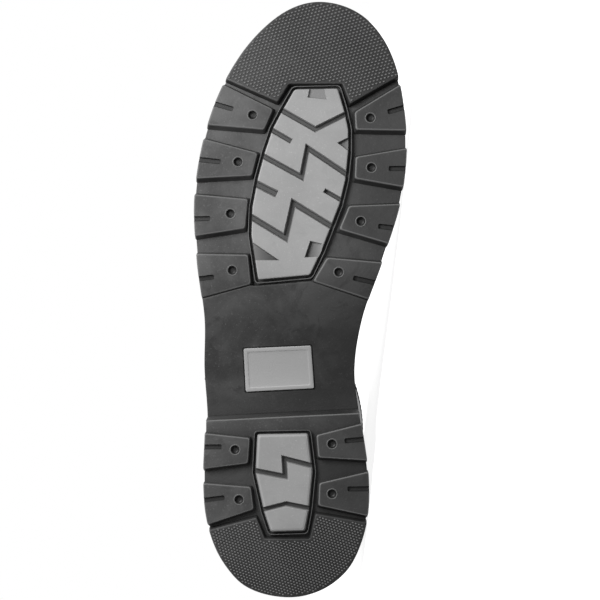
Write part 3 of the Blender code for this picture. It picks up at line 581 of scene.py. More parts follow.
@dataclass(frozen=True)
class UpperForm:
    """Surface of the vamp and shaft: a round the boot, t up through the sections."""

    sole: SoleForm
    fit: float = 0.3
    taper_centre: float = 0.4
    around_step: float = 0.002
    level_step: float = 0.02
    vamp_line: float = 10.0
    collar_line: float = 14.7
    shaft_step: float = 0.9
    collar_step: float = 0.2
    wall: float = 2.9
    foot: float = 1.05
    sections: tuple[Section, ...] = (
        Section(-17.6, 304.5, 0.0, 4.5, 0.0, 36.0, 4.0, 0.30, 0.00, 1.00),
        Section(-17.6, 304.5, 4.5, 4.5, 4.5, 36.0, 4.0, 0.30, 0.00, 1.00),
        Section(-17.5, 305.8, 13.0, 3.2, 10.5, 37.0, 4.0, 0.30, 0.00, 1.02),
        Section(-17.0, 304.0, 25.0, 2.2, 16.5, 37.0, 4.0, 0.30, 0.05, 1.01),
        Section(-16.0, 296.0, 36.0, 2.0, 22.5, 36.0, 4.0, 0.30, 0.25, 0.96),
        Section(-15.0, 281.0, 43.5, 2.3, 28.5, 35.5, 4.5, 0.30, 0.55, 0.90),
        Section(-13.0, 258.0, 48.0, 3.0, 34.5, 34.8, 4.5, 0.35, 0.85, 0.87),
        Section(-9.5, 226.0, 54.5, 4.0, 40.5, 34.5, 4.5, 0.30, 1.00, 0.87),
        Section(-6.0, 193.0, 66.5, 5.2, 47.0, 34.7, 4.0, 0.25, 1.00, 0.87),
        Section(-3.5, 168.0, 84.0, 6.3, 55.0, 35.4, 3.0, 0.20, 1.00, 0.87),
        Section(-1.5, 150.0, 106.0, 7.3, 66.0, 37.0, 2.0, 0.15, 1.00, 0.87),
        Section(0.0, 140.5, 131.0, 8.0, 88.0, 40.0, 1.0, 0.10, 1.00, 0.87),
        Section(0.5, 136.5, 159.0, 5.5, 122.0, 44.0, 0.5, 0.05, 1.00, 0.87),
        Section(1.0, 136.0, 201.0, 0.0, 174.0, 47.5, 0.0, 0.00, 1.00, 0.87),
        Section(1.0, 138.5, 241.0, -3.0, 223.0, 49.5, 0.0, 0.00, 1.00, 0.87),
        Section(1.0, 140.0, 271.0, -4.0, 254.0, 50.0, 0.0, 0.00, 1.00, 0.87),
    )

    def top(self) -> float:
        """Number of the last section."""
        return float(len(self.sections) - 1)

    def point(self, a: Array, t: Array) -> Array:
        """Points of the surface.

        Args:
            a: Places round the boot.
            t: Section numbers.

        Returns:
            Rows of x, y and z.
        """
        a, t = np.broadcast_arrays(np.asarray(a, float), np.asarray(t, float))
        knots = range(len(self.sections))
        row = Section(*(smooth_curve(knots, column, t) for column in zip(*self.sections)))
        turn = np.mod(a, 1.0)
        u = np.where(turn <= 0.5, 2 * turn, 2 - 2 * turn)
        side = np.where(turn <= 0.5, 1.0, -1.0)
        foot = self.sole.feather(a)
        heel_y, toe_y = self.sole.feather(np.array([0.0, 0.5]))[:, 1]
        middle = (foot[..., 0] + self.sole.feather(1 - a)[..., 0]) / 2
        foot_share = (foot[..., 1] - heel_y) / (toe_y - heel_y)
        oval_share = (1 - np.cos(np.pi * u)) / 2
        along = foot_share + (oval_share - foot_share) * row.oval
        swell = np.sin(np.pi * u) * (1 - row.taper * (oval_share - self.taper_centre))
        foot_x = middle + (foot[..., 0] - middle) * row.breadth
        oval_x = row.toe_x * oval_share**2 + row.waist * np.sin(np.pi * u) ** 4 + side * row.half * swell
        heel_seat, toe_seat = self.sole.seat(np.array([heel_y, toe_y]))
        heel_z = heel_seat + self.fit + row.heel_rise
        toe_z = toe_seat + self.fit + row.toe_rise
        straight = heel_seat * (1 - foot_share) + toe_seat * foot_share
        sag = (1 - row.oval) * (self.sole.seat(foot[..., 1]) - straight)
        x = foot_x + (oval_x - foot_x) * row.oval
        y = row.heel_y + (row.toe_y - row.heel_y) * along
        return np.stack((x, y, heel_z + (toe_z - heel_z) * along + sag), axis=-1)

    def normal(self, a: Array, t: Array) -> Array:
        """Outward directions of the surface.

        Args:
            a: Places round the boot.
            t: Section numbers.

        Returns:
            Rows of x, y and z.
        """
        a, t = np.broadcast_arrays(np.asarray(a, float), np.asarray(t, float))
        around = self.point(a + self.around_step, t) - self.point(a - self.around_step, t)
        low = np.maximum(t - self.level_step, 0.0)
        upward = self.point(a, np.minimum(t + self.level_step, self.top())) - self.point(a, low)
        square = np.cross(around, upward)
        return square / np.linalg.norm(square, axis=-1, keepdims=True)

    def lifted(self, a: Array, t: Array, lift: Array) -> Array:
        """Points off the surface, square to it."""
        return self.point(a, t) + np.asarray(lift, float)[..., None] * self.normal(a, t)


class Pose:
    """Turns the upright boot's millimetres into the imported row's metres."""

    HEEL = Vector((0.0, 18.0, 0.0))
    FOREFOOT = Vector((33.0, 195.0, 0.0))

    def __init__(self, record: dict) -> None:
        """Work the turn out from the two tread mounts.

        Args:
            record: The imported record.
        """
        mounts = {row["name"]: row for row in record["mounts"]}
        heel = Vector(mounts["heel_tread"]["pos_m"])
        upright = self.basis(self.FOREFOOT - self.HEEL, Vector((0.0, 0.0, 1.0)))
        forefoot = Vector(mounts["forefoot_tread"]["pos_m"])
        laid = self.basis(forefoot - heel, -Vector(mounts["heel_tread"]["axis"]))
        self.turn = laid @ upright.transposed()
        shift = heel - self.turn @ (self.HEEL * MM)
        self.matrix = Matrix.Translation(shift) @ self.turn.to_4x4() @ Matrix.Scale(MM, 4)

    @staticmethod
    def basis(along: Vector, up: Vector) -> Matrix:
        """Square axes as the columns of a matrix, with the third one up.

        Args:
            along: Direction of the first axis, once it is square.
            up: Direction of the third.

        Returns:
            The matrix.
        """
        up = up.normalized()
        along = (along - up * along.dot(up)).normalized()
        return Matrix((along, up.cross(along), up)).transposed()

    def laid(self, points: Array) -> Array:
        """Upright millimetres as row metres."""
        matrix = np.array(self.matrix)
        return np.asarray(points, float) @ matrix[:3, :3].T + matrix[:3, 3]


# Mesh work


class Crisp(Enum):
    """Least fold, in degrees, of the edges that stay sharp on a kind of piece."""

    INSERT = 12.0
    TREAD = 18.0
    BOARD = 30.0
    ROLLER = 35.0
    ROUND = 40.0


class Workshop:
    """Turns meshes in upright millimetres into pieces that ride on the frame."""

    def __init__(self, pose: Pose) -> None:
        """Keep the pose."""
        self.pose = pose

    def release(self, name: str, bm: BMesh, finishes: Sequence[Material], slot: Slot,
                nodes: Sequence[str], crisp: Crisp) -> None:
        """Lay a closed mesh down as a finished piece.

        Args:
            name: Name of the piece.
            bm: Mesh in upright millimetres, used up here.
            finishes: Materials by the faces' index.
            slot: Slot of the record that the finish belongs to.
            nodes: Nodes of the frame that the piece stands for.
            crisp: Which edges stay sharp.
        """
        bmesh.ops.recalc_face_normals(bm, faces=bm.faces)
        bm.transform(self.pose.matrix)
        mesh = bpy.data.meshes.new(name)
        bm.to_mesh(mesh)
        bm.free()
        mesh.shade_smooth()
        mesh.set_sharp_from_angle(angle=math.radians(crisp.value))
        self.place(name, mesh, finishes, slot, nodes)

    def place(self, name: str, mesh: bpy.types.Mesh, finishes: Sequence[Material], slot: Slot,
              nodes: Sequence[str]) -> None:
        """Make the object of a mesh that is already in the row frame, and let it ride.

        Args:
            name: Name of the piece.
            mesh: Mesh in row metres.
            finishes: Materials by the faces' index.
            slot: Slot of the record; not used.
            nodes: Nodes that the piece stands for.
        """
        mesh.name = name
        if mesh.materials:
            mesh.materials.clear()
        for finish in finishes:
            mesh.materials.append(finish)
        piece = bpy.data.objects.new(name, mesh)
        bpy.context.scene.collection.objects.link(piece)
        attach(piece, "root")
        if nodes:
            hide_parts(*nodes)
        LOG.info("%s: %d faces", name, len(mesh.polygons))

    @staticmethod
    def scratch(name: str, bm: BMesh) -> bpy.types.Object:
        """Short-lived object of a mesh, used up here.

        Args:
            name: Name of the object.
            bm: Mesh, used up here.

        Returns:
            The object.
        """
        bmesh.ops.recalc_face_normals(bm, faces=bm.faces)
        mesh = bpy.data.meshes.new(name)
        bm.to_mesh(mesh)
        bm.free()
        made = bpy.data.objects.new(name, mesh)
        bpy.context.scene.collection.objects.link(made)
        return made

    @staticmethod
    def baked(made: bpy.types.Object) -> bpy.types.Mesh:
        """Plain mesh of an object with its modifiers, which is then removed.

        Args:
            made: Object to bake.

        Returns:
            The mesh.
        """
        bpy.context.view_layer.update()
        graph = bpy.context.evaluated_depsgraph_get()
        mesh = bpy.data.meshes.new_from_object(made.evaluated_get(graph))
        old = made.data
        bpy.data.objects.remove(made)
        bpy.data.meshes.remove(old)
        return mesh

    def cut(self, bm: BMesh, cutter: BMesh, bevel: float = 0.0) -> BMesh:
        """Cut one closed mesh out of another, and round the sharp edges.

        Args:
            bm: Mesh to cut, used up here.
            cutter: Mesh to take away, used up here.
            bevel: Width of the rounding.

        Returns:
            The cut mesh.
        """
        body = self.scratch("cut_body", bm)
        tool = self.scratch("cut_tool", cutter)
        boolean = body.modifiers.new("cut", "BOOLEAN")
        boolean.operation = "DIFFERENCE"
        boolean.solver = "EXACT"
        boolean.object = tool
        if bevel:
            rounding = body.modifiers.new("round", "BEVEL")
            rounding.width = bevel
            rounding.segments = 2
            rounding.limit_method = "ANGLE"
            rounding.angle_limit = math.radians(38.0)
        mesh = self.baked(body)
        old = tool.data
        bpy.data.objects.remove(tool)
        bpy.data.meshes.remove(old)
        made = bmesh.new()
        made.from_mesh(mesh)
        bpy.data.meshes.remove(mesh)
        return made


def toned_mesh() -> BMesh:
    """New mesh with a layer for the tone at each vertex, up to 1 for edge wear and painted highlights and
    down to -1 for painted shade.

    Returns:
        The mesh.
    """
    bm = bmesh.new()
    bm.verts.layers.float.new("tone")
    return bm


def loft(bm: BMesh, rings: Sequence[Array], wrap: bool, tones: Sequence[float] = ()) -> list[list]:
    """Quads between closed rings of equal count.

    Args:
        bm: Mesh to add to.
        rings: Rings of points.
        wrap: Whether the last ring joins the first.
        tones: Tone of each ring, for a mesh with that layer.

    Returns:
        The rings' vertices.
    """
    made = [[bm.verts.new(p) for p in ring] for ring in rings]
    for ring, tone in zip(made, tones):
        for vert in ring:
            vert[bm.verts.layers.float["tone"]] = tone
    pairs = list(zip(made, made[1:])) + ([(made[-1], made[0])] if wrap else [])
    for low, high in pairs:
        for i in range(len(low)):
            j = (i + 1) % len(low)
            bm.faces.new((low[i], low[j], high[j], high[i]))
    return made


def stack(bm: BMesh, layers: Sequence[tuple[Sequence, float]], tones: Sequence[float] = ()) -> None:
    """Closed solid through polygons of equal count.

    Args:
        bm: Mesh to add to.
        layers: Polygons, each with its height.
        tones: Tone of each polygon, for a mesh with that layer.
    """
    made = loft(bm, [[(p[0], p[1], height) for p in polygon] for polygon, height in layers], False, tones)
    bm.faces.new(made[0])
    bm.faces.new(made[-1])


def tube(bm: BMesh, path: Array, radii: Array, square: Array, sides: int, closed: bool,
         tones: Sequence[float] = ()) -> None:
    """Round bar along a path.

    Args:
        bm: Mesh to add to.
        path: Points of the middle line.
        radii: Radius at each point.
        square: Direction that the sections keep in their plane.
        sides: Corners of a section.
        closed: Whether the bar is a ring.
        tones: Tone at each point, for a mesh with that layer.
    """
    if closed:
        along = np.roll(path, -1, axis=0) - np.roll(path, 1, axis=0)
    else:
        along = np.gradient(path, axis=0)
    along /= np.linalg.norm(along, axis=1, keepdims=True)
    flat = square - along * (along @ square)[:, None]
    flat /= np.linalg.norm(flat, axis=1, keepdims=True)
    across = np.cross(along, flat)
    turns = np.linspace(0.0, 2 * np.pi, sides, endpoint=False)
    rings = [
        path[i] + radii[i] * (np.cos(turns)[:, None] * across[i] + np.sin(turns)[:, None] * flat[i])
        for i in range(len(path))
    ]
    made = loft(bm, rings, closed, tones)
    if not closed:
        bm.faces.new(made[0])
        bm.faces.new(made[-1])


def panel(bm: BMesh, place: Callable[[Array, Array, Array], Array], along: Array, across: Array,
          low: Array, thick: float) -> None:
    """Closed sheet of leather with rounded edges.

    Args:
        bm: Mesh to add to.
        place: Point at a place along, across and off the surface.
        along: Places along the sheet, with close ones at its ends.
        across: Places across it, with close ones at its edges.
        low: Lift of the underside at each place along.
        thick: Thickness of the sheet.
    """
    rows, columns = len(along), len(across)
    grid_u, grid_v = np.meshgrid(along, across, indexing="ij")
    from_end = np.minimum(np.arange(rows), np.arange(rows)[::-1])[:, None]
    from_edge = np.minimum(np.arange(columns), np.arange(columns)[::-1])[None, :]
    shape = np.array([0.30, 0.74, 0.93, 1.0])
    share = np.minimum(shape[np.minimum(from_end, 3)], shape[np.minimum(from_edge, 3)])
    under = np.broadcast_to(np.asarray(low, float)[:, None], share.shape)
    grids = []
    for lift in (under, under + thick * share):
        points = place(grid_u.ravel(), grid_v.ravel(), lift.ravel()).reshape(rows, columns, 3)
        grids.append([[bm.verts.new(p) for p in line] for line in points])
    for grid in grids:
        for i in range(rows - 1):
            for j in range(columns - 1):
                bm.faces.new((grid[i][j], grid[i + 1][j], grid[i + 1][j + 1], grid[i][j + 1]))
    border = [(i, 0) for i in range(rows)] + [(rows - 1, j) for j in range(1, columns)]
    border += [(i, columns - 1) for i in range(rows - 2, -1, -1)]
    border += [(0, j) for j in range(columns - 2, 0, -1)]
    for (i, j), (k, m) in zip(border, border[1:] + border[:1]):
        bm.faces.new((grids[0][i][j], grids[0][k][m], grids[1][k][m], grids[1][i][j]))


def eased(low: float, high: float, steps: int, edge: float) -> Array:
    """Even places between two ends, with close ones at both ends for a rounded edge.

    Args:
        low: First place.
        high: Last place.
        steps: Even steps between.
        edge: Width of the rounding.

    Returns:
        The places.
    """
    near = np.array([0.0, 0.16, 0.5]) * edge
    even = np.linspace(low + edge, high - edge, steps + 1)
    return np.concatenate((low + near, even, high - near[::-1]))


def grown(polygon: Sequence, offsets: Sequence[float]) -> Polygon:
    """Polygon with each edge, from its corner to the next, moved outward by its own offset.

    Args:
        polygon: Corners.
        offsets: Offset of each edge.

    Returns:
        The moved corners.
    """
    points = [Vector(point) for point in polygon]
    count = len(points)
    area = sum(points[i - 1].x * points[i].y - points[i].x * points[i - 1].y for i in range(count))
    turn = 1 if area > 0 else -1
    normals = []
    for i in range(count):
        along = (points[(i + 1) % count] - points[i]).normalized()
        normals.append(turn * Vector((along.y, -along.x)))
    moved = []
    for i in range(count):
        first, second = normals[i - 1], normals[i]
        cross = first.x * second.y - first.y * second.x
        if abs(cross) < 0.05:
            moved.append(points[i] + second * (offsets[i - 1] + offsets[i]) / 2)
            continue
        x = (offsets[i - 1] * second.y - offsets[i] * first.y) / cross
        y = (first.x * offsets[i] - second.x * offsets[i - 1]) / cross
        moved.append(points[i] + Vector((x, y)))
    return moved


def rounded(polygon: Sequence, radius: float, steps: int = 4, sharp: float = 20.0) -> Polygon:
    """Polygon with its corners rounded, all but those that turn less than a small angle.

    Args:
        polygon: Corners.
        radius: Length taken off each side of a corner.
        steps: Points on a rounded corner, less one.
        sharp: Least turn in degrees of a corner that is rounded.

    Returns:
        The points.
    """
    points = [Vector(point) for point in polygon]
    made = []
    for i, point in enumerate(points):
        before = points[i - 1] - point
        after = points[(i + 1) % len(points)] - point
        turn = 180.0 - math.degrees(before.angle(after))
        if turn < sharp:
            made.append(point)
            continue
        start = point + before.normalized() * min(radius, before.length * 0.4)
        end = point + after.normalized() * min(radius, after.length * 0.4)
        for k in range(steps + 1):
            s = k / steps
            made.append(start * (1 - s) ** 2 + point * 2 * s * (1 - s) + end * s * s)
    return made


def channel(line: Sequence, width: float, start_run: float = 0.0, end_run: float = 0.0) -> Polygon:
    """Polygon of even width along a line, run out past its ends.

    Args:
        line: Points of the line.
        width: Width of the channel.
        start_run: Length added before the line.
        end_run: Length added after it.

    Returns:
        The corners.
    """
    points = [Vector(point) for point in line]
    points[0] = points[0] + (points[0] - points[1]).normalized() * start_run
    points[-1] = points[-1] + (points[-1] - points[-2]).normalized() * end_run
    left, right = [], []
    for i, point in enumerate(points):
        before = (point - points[i - 1]) if i else points[1] - point
        after = (points[i + 1] - point) if i + 1 < len(points) else before
        before, after = before.normalized(), after.normalized()
        square = Vector((-before.y - after.y, before.x + after.x)).normalized()
        reach = width / 2 / square.dot(Vector((-before.y, before.x)))
        left.append(point + square * reach)
        right.append(point - square * reach)
    return left + right[::-1]


# What repeats: stitches along a line and knurl bumps on a pad


class Layout(Enum):
    """Where a repeated form sits."""

    POINTS = "points"
    LINES = "lines"


class RepeatTree:
    """Geometry Nodes tree that sets a small rounded form on every point or along every line of a guide."""

    SEGMENTS = 6
    RINGS = 4

    def __init__(self, name: str, layout: Layout) -> None:
        """Build the tree with its named inputs.

        Args:
            name: Name of the tree.
            layout: Where the form sits.
        """
        self.tree = bpy.data.node_groups.new(name, "GeometryNodeTree")
        face = self.tree.interface
        face.new_socket("Guide", in_out="INPUT", socket_type="NodeSocketGeometry")
        for label in ("Length", "Width", "Height", "Pitch"):
            face.new_socket(label, in_out="INPUT", socket_type="NodeSocketFloat")
        face.new_socket("Finish", in_out="INPUT", socket_type="NodeSocketMaterial")
        face.new_socket("Result", in_out="OUTPUT", socket_type="NodeSocketGeometry")
        source = self.tree.nodes.new("NodeGroupInput")
        form = self.add("GeometryNodeMeshUVSphere", {},
                        {"Segments": self.SEGMENTS, "Rings": self.RINGS, "Radius": 0.5})
        size = self.add("ShaderNodeCombineXYZ", {}, {axis: source.outputs[label] for axis, label in
                                                     zip("XYZ", ("Length", "Width", "Height"))})
        sized = self.add("GeometryNodeTransform", {},
                         {"Geometry": form.outputs["Mesh"], "Scale": size.outputs[0]})
        if layout is Layout.LINES:
            curve = self.add("GeometryNodeMeshToCurve", {}, {"Mesh": source.outputs["Guide"]})
            even = self.add("GeometryNodeResampleCurve", {"mode": "LENGTH"},
                            {"Curve": curve.outputs[0], "Length": source.outputs["Pitch"]})
            tangent = self.add("GeometryNodeInputTangent", {}, {})
            turn = self.add("FunctionNodeAlignRotationToVector", {"axis": "X"},
                            {"Vector": tangent.outputs[0]})
            where = even.outputs[0]
        else:
            stored = self.add("GeometryNodeInputNamedAttribute", {"data_type": "FLOAT_VECTOR"},
                              {"Name": "turn"})
            turn = self.add("FunctionNodeEulerToRotation", {}, {0: stored.outputs[0]})
            where = source.outputs["Guide"]
        placed = self.add("GeometryNodeInstanceOnPoints", {},
                          {"Points": where, "Instance": sized.outputs[0], "Rotation": turn.outputs[0]})
        real = self.add("GeometryNodeRealizeInstances", {}, {0: placed.outputs[0]})
        dressed = self.add("GeometryNodeSetMaterial", {},
                           {"Geometry": real.outputs[0], "Material": source.outputs["Finish"]})
        sink = self.tree.nodes.new("NodeGroupOutput")
        self.tree.links.new(dressed.outputs[0], sink.inputs[0])

    def add(self, kind: str, settings: dict[str, object], sockets: dict[object, object]) -> bpy.types.Node:
        """Node of the tree.

        Args:
            kind: Type name of the node.
            settings: Attributes that are set first.
            sockets: Numbers or outputs for its inputs.

        Returns:
            The node.
        """
        made = self.tree.nodes.new(kind)
        for key, setting in settings.items():
            setattr(made, key, setting)
        for key, content in sockets.items():
            if isinstance(content, bpy.types.NodeSocket):
                self.tree.links.new(content, made.inputs[key])
            else:
                made.inputs[key].default_value = content
        return made

    def grow(self, guide: bpy.types.Mesh, finish: Material, **sizes: float) -> bpy.types.Mesh:
        """Plain mesh of the forms on a guide.

        Args:
            guide: Points or lines in row metres.
            finish: Material of the forms.
            sizes: Length, Width, Height and Pitch in millimetres.

        Returns:
            The mesh.
        """
        carrier = bpy.data.objects.new("guide", guide)
        bpy.context.scene.collection.objects.link(carrier)
        modifier = carrier.modifiers.new("repeat", "NODES")
        modifier.node_group = self.tree
        rows = self.tree.interface.items_tree
        names = {row.name: row.identifier for row in rows if row.in_out == "INPUT"}
        for label, size in sizes.items():
            modifier[names[label]] = size * MM
        modifier[names["Finish"]] = finish
        mesh = Workshop.baked(carrier)
        mesh.shade_smooth()
        return mesh


class Seamstress:
    """Sews rows of stitches along lines on the boot."""

    STITCH_SHARE = 0.80

    def __init__(self, shop: Workshop) -> None:
        """Build the stitch tree."""
        self.shop = shop
        self.tree = RepeatTree("stitch_row", Layout.LINES)

    def sew(self, name: str, lines: Sequence[Array], finish: Material, slot: Slot, pitch: float,
            thread: float) -> None:
        """Make one piece of stitches.

        Args:
            name: Name of the piece.
            lines: Rows of points in upright millimetres.
            finish: Thread.
            slot: Slot of the record.
            pitch: Distance from stitch to stitch.
            thread: Thickness of the thread.
        """
        points: list[Array] = []
        edges: list[tuple[int, int]] = []
        for line in lines:
            first = len(points)
            points += list(self.shop.pose.laid(line))
            edges += [(first + i, first + i + 1) for i in range(len(line) - 1)]
        guide = bpy.data.meshes.new("stitch_guide")
        guide.from_pydata([tuple(p) for p in points], edges, [])
        mesh = self.tree.grow(guide, finish, Length=pitch * self.STITCH_SHARE, Width=thread, Height=thread,
                              Pitch=pitch)
        self.shop.place(name, mesh, [finish], slot, [])


# Tread


class Lug(NamedTuple):
    """Corners of a lug at the tread, with its dimple and the inner end of its notch."""

    outer_toe: Point2
    inner_toe: Point2
    inner_heel: Point2
    outer_heel: Point2
    dimple: Point2
    notch: Point2


class Draft(NamedTuple):
    """How far a wall leans out from the tread to the groove floor."""

    toe: float
    inner: float
    heel: float
    pad: float


class Tip(Enum):
    """End of the sole that a pad covers."""

    TOE = "toe"
    HEEL = "heel"


@dataclass
class Tread:
    """Shapes that the outsole and the heel share."""

    sole: SoleForm
    shop: Workshop
    rib: float = 0.5
    rib_top: float = 9.5
    edge: float = 0.55
    corner: float = 1.3
    edge_steps: int = 10
    pad_steps: int = 60
    notch_width: float = 3.0
    notch_reach: float = 14.0
    notch_depth: float = 1.8
    dimple_radius: float = 2.2
    dimple_depth: float = 2.2
    dimple_points: int = 20
    notch_floor: float = 0.62
    cut_over: float = 0.6
    rim_rise: float = 0.22
    rim_sink: float = 0.08
    rim_gap: float = 0.45
    rim_points: int = 24
    rim_wear_and_highlight: float = 0.7
    # Painted shade in dimples and notches: where it starts by depth, its run, and its share in notches.
    shade_start: float = 0.1
    shade_run: float = 0.7
    notch_shade: float = 0.75
    # Tones of a lug's layers: the rounded tread edge is lightened, partly edge wear and partly painted
    # highlight.
    worn: tuple[float, ...] = (0.0, 0.2, 1.0, 1.0, 0.7, 0.0, 0.0, 0.0)
    # Tones of a pad's layers: painted shade on its face between the knurl bumps and on its walls.
    shaded: tuple[float, ...] = (-0.6, -0.4, 0.0, 0.0, -0.2, -0.5, -0.7, -0.7)

    def block(self, bm: BMesh, polygon: Sequence, drafts: Sequence[float], bottom: float, base: float,
              top: float, tones: Sequence[float], corner: float = 0.0) -> None:
        """Closed block with a rounded tread edge and drafted walls.

        Args:
            bm: Mesh to add to.
            polygon: Corners at the tread.
            drafts: How far each wall leans out by the base.
            bottom: Height of the tread face.
            base: Height where the draft ends.
            top: Height of the hidden upper face.
            tones: Tones from the tread face up.
            corner: Rounding of the corners in plan.
        """
        foot = grown(polygon, drafts)
        quarter = np.radians((0, 30, 60, 90))
        insets = [(self.edge * (1 - math.sin(q)), self.edge * (1 - math.cos(q))) for q in quarter]
        layers = []
        for inset, rise in [(self.edge * 1.9, 0.0)] + insets + [(0.0, self.edge * 2.0)]:
            share = rise / (base - bottom)
            level = [p.lerp(q, share) for p, q in zip([Vector(p) for p in polygon], foot)]
            shape = grown(level, [-inset] * len(level))
            layers.append((rounded(shape, corner), bottom + rise))
        layers += [(rounded(foot, corner), base), (rounded(foot, corner), top)]
        stack(bm, layers, tones)

    def lugs(self, bm: BMesh, lugs: Sequence[Lug], draft: Draft) -> None:
        """Lugs with their outer edge on the sole's outline.

        Args:
            bm: Mesh to add to.
            lugs: The lugs.
            draft: Lean of their walls.
        """
        for lug in lugs:
            side = 1 if lug.outer_toe[0] > 0 else -1
            edge = self.sole.run(side, lug.outer_heel[1], lug.outer_toe[1], self.edge_steps)
            polygon = [edge[-1], Vector(lug.inner_toe), Vector(lug.inner_heel)] + edge[:-1]
            drafts = [draft.toe, draft.inner, draft.heel] + [0.0] * self.edge_steps
            self.block(bm, polygon, drafts, 0.0, self.sole.lug_depth, self.rib_top, self.worn, self.corner)

    def pad_polygon(self, edge: Sequence[Point2], tip: Tip) -> Polygon:
        """Corners of a pad at a tip of the sole, its inner edge first.

        Args:
            edge: Inner edge from the outer side of the boot to its inner side.
            tip: End of the sole.

        Returns:
            The corners.
        """
        shares = [math.acos(1 - 2 * p[1] / self.sole.length) / math.pi / 2 for p in (edge[0], edge[-1])]
        last = 1 - shares[1] if tip is Tip.TOE else -shares[1]
        rim = self.sole.outline(np.linspace(shares[0], last, self.pad_steps + 1))
        return [Vector(p) for p in edge[1:-1]] + [Vector(p) for p in rim[::-1]]

    def pad(self, bm: BMesh, edge: Sequence[Point2], tip: Tip, draft: Draft) -> None:
        """Pad at a tip of the sole behind a stepped edge.

        Args:
            bm: Mesh to add to.
            edge: Inner edge from the outer side of the boot to its inner side.
            tip: End of the sole.
            draft: Lean of its wall.
        """
        drafts = [draft.pad] * (len(edge) - 2) + [0.0] * self.pad_steps + [draft.pad]
        self.block(bm, self.pad_polygon(edge, tip), drafts, 0.0, self.sole.lug_depth, self.rib_top,
                   self.shaded, 0.8)

    def notch_line(self, lug: Lug) -> tuple[Vector, Vector]:
        """Middle of a lug's notch, from its inner end out past the sole's edge.

        Args:
            lug: The lug.

        Returns:
            Both ends of the line.
        """
        inner = (Vector(lug.inner_toe) + Vector(lug.inner_heel)) / 2
        outer = (Vector(lug.outer_toe) + Vector(lug.outer_heel)) / 2
        return Vector(lug.notch), Vector(lug.notch) + (outer - inner).normalized() * self.notch_reach

    def dug(self, bm: BMesh, lugs: Sequence[Lug]) -> BMesh:
        """Lugs with their notches and dimples cut in and darkened with painted shade.

        Args:
            bm: Mesh of the lugs, used up here.
            lugs: The lugs.

        Returns:
            The cut mesh.
        """
        whole = self.shop.cut(bm, self.cutters(lugs))
        tone = whole.verts.layers.float["tone"]
        half, floor = self.notch_width / 2, self.notch_depth + 0.05
        for lug in lugs:
            start, end = self.notch_line(lug)
            way = (end - start).normalized()
            for vert in whole.verts:
                spot = vert.co.xy - start
                along, off = spot.dot(way), abs(spot.x * way.y - spot.y * way.x)
                # Painted shade: dimples and notch floors darken with depth.
                deep = min(max((vert.co.z - self.shade_start) / self.shade_run, 0.0), 1.0)
                if (vert.co.xy - Vector(lug.dimple)).length < self.dimple_radius * 1.02:
                    vert[tone] = -deep
                elif along > -half and off < half and spot.length < self.notch_reach and vert.co.z < floor:
                    vert[tone] = -self.notch_shade * deep
        return whole

    def cutters(self, lugs: Sequence[Lug]) -> BMesh:
        """Notches and dimples of lugs.

        Args:
            lugs: The lugs.

        Returns:
            The mesh to take away.
        """
        bm = bmesh.new()
        for lug in lugs:
            line = self.notch_line(lug)
            mouth = rounded(channel(line, self.notch_width), 1.0)
            bottom = rounded(channel(line, self.notch_width * self.notch_floor), 0.6)
            stack(bm, ((mouth, -self.cut_over), (bottom, self.notch_depth)))
            hub = Vector(lug.dimple)
            deep = self.dimple_depth
            profile = ((1.06, -self.cut_over), (1.0, 0.3), (0.82, deep * 0.8), (0.45, deep))
            turns = [2 * math.pi * i / self.dimple_points for i in range(self.dimple_points)]
            stack(bm, [([hub + self.dimple_radius * r * Vector((math.cos(q), math.sin(q))) for q in turns], z)
                       for r, z in profile])
        return bm

    def dimple_rims(self, bm: BMesh, lugs: Sequence[Lug]) -> None:
        """Low raised ring round each dimple.

        Args:
            bm: Mesh to add to.
            lugs: The lugs.
        """
        count = self.rim_points
        turns = np.linspace(0.0, 2 * np.pi, count, endpoint=False)
        radius = self.dimple_radius + self.rim_gap
        up = np.array([0.0, 0.0, 1.0])
        for lug in lugs:
            x, y = lug.dimple[0] + radius * np.cos(turns), lug.dimple[1] + radius * np.sin(turns)
            path = np.stack((x, y, np.full(count, self.rim_sink)), axis=1)
            thick = np.full(count, self.rim_rise + self.rim_sink)
            # Lightened rim: edge wear and painted highlight.
            tube(bm, path, thick, up, 8, True, [self.rim_wear_and_highlight] * count)

    def moat_rim(self, bm: BMesh, outline: Sequence[Point2], near: float, far: float, low: float) -> None:
        """Thin lip that stands round an insert in the groove.

        Args:
            bm: Mesh to add to.
            outline: Corners of the insert.
            near: Offset of its inner face.
            far: Offset of its outer face.
            low: Height of its edge over the tread plane.
        """
        rings = []
        base = self.sole.lug_depth + 0.6
        for offset, z in ((near, base), (near + 0.08, low + 0.2), (near + 0.24, low), (far - 0.24, low),
                          (far - 0.08, low + 0.2), (far, base)):
            ring = rounded(grown(outline, [offset] * len(outline)), 2.0)
            rings.append([(p.x, p.y, z) for p in ring])
        # The lip's top is lightened as edge wear and painted highlight.
        loft(bm, rings, True, (0.0, 0.3, 0.7, 0.7, 0.3, 0.0))

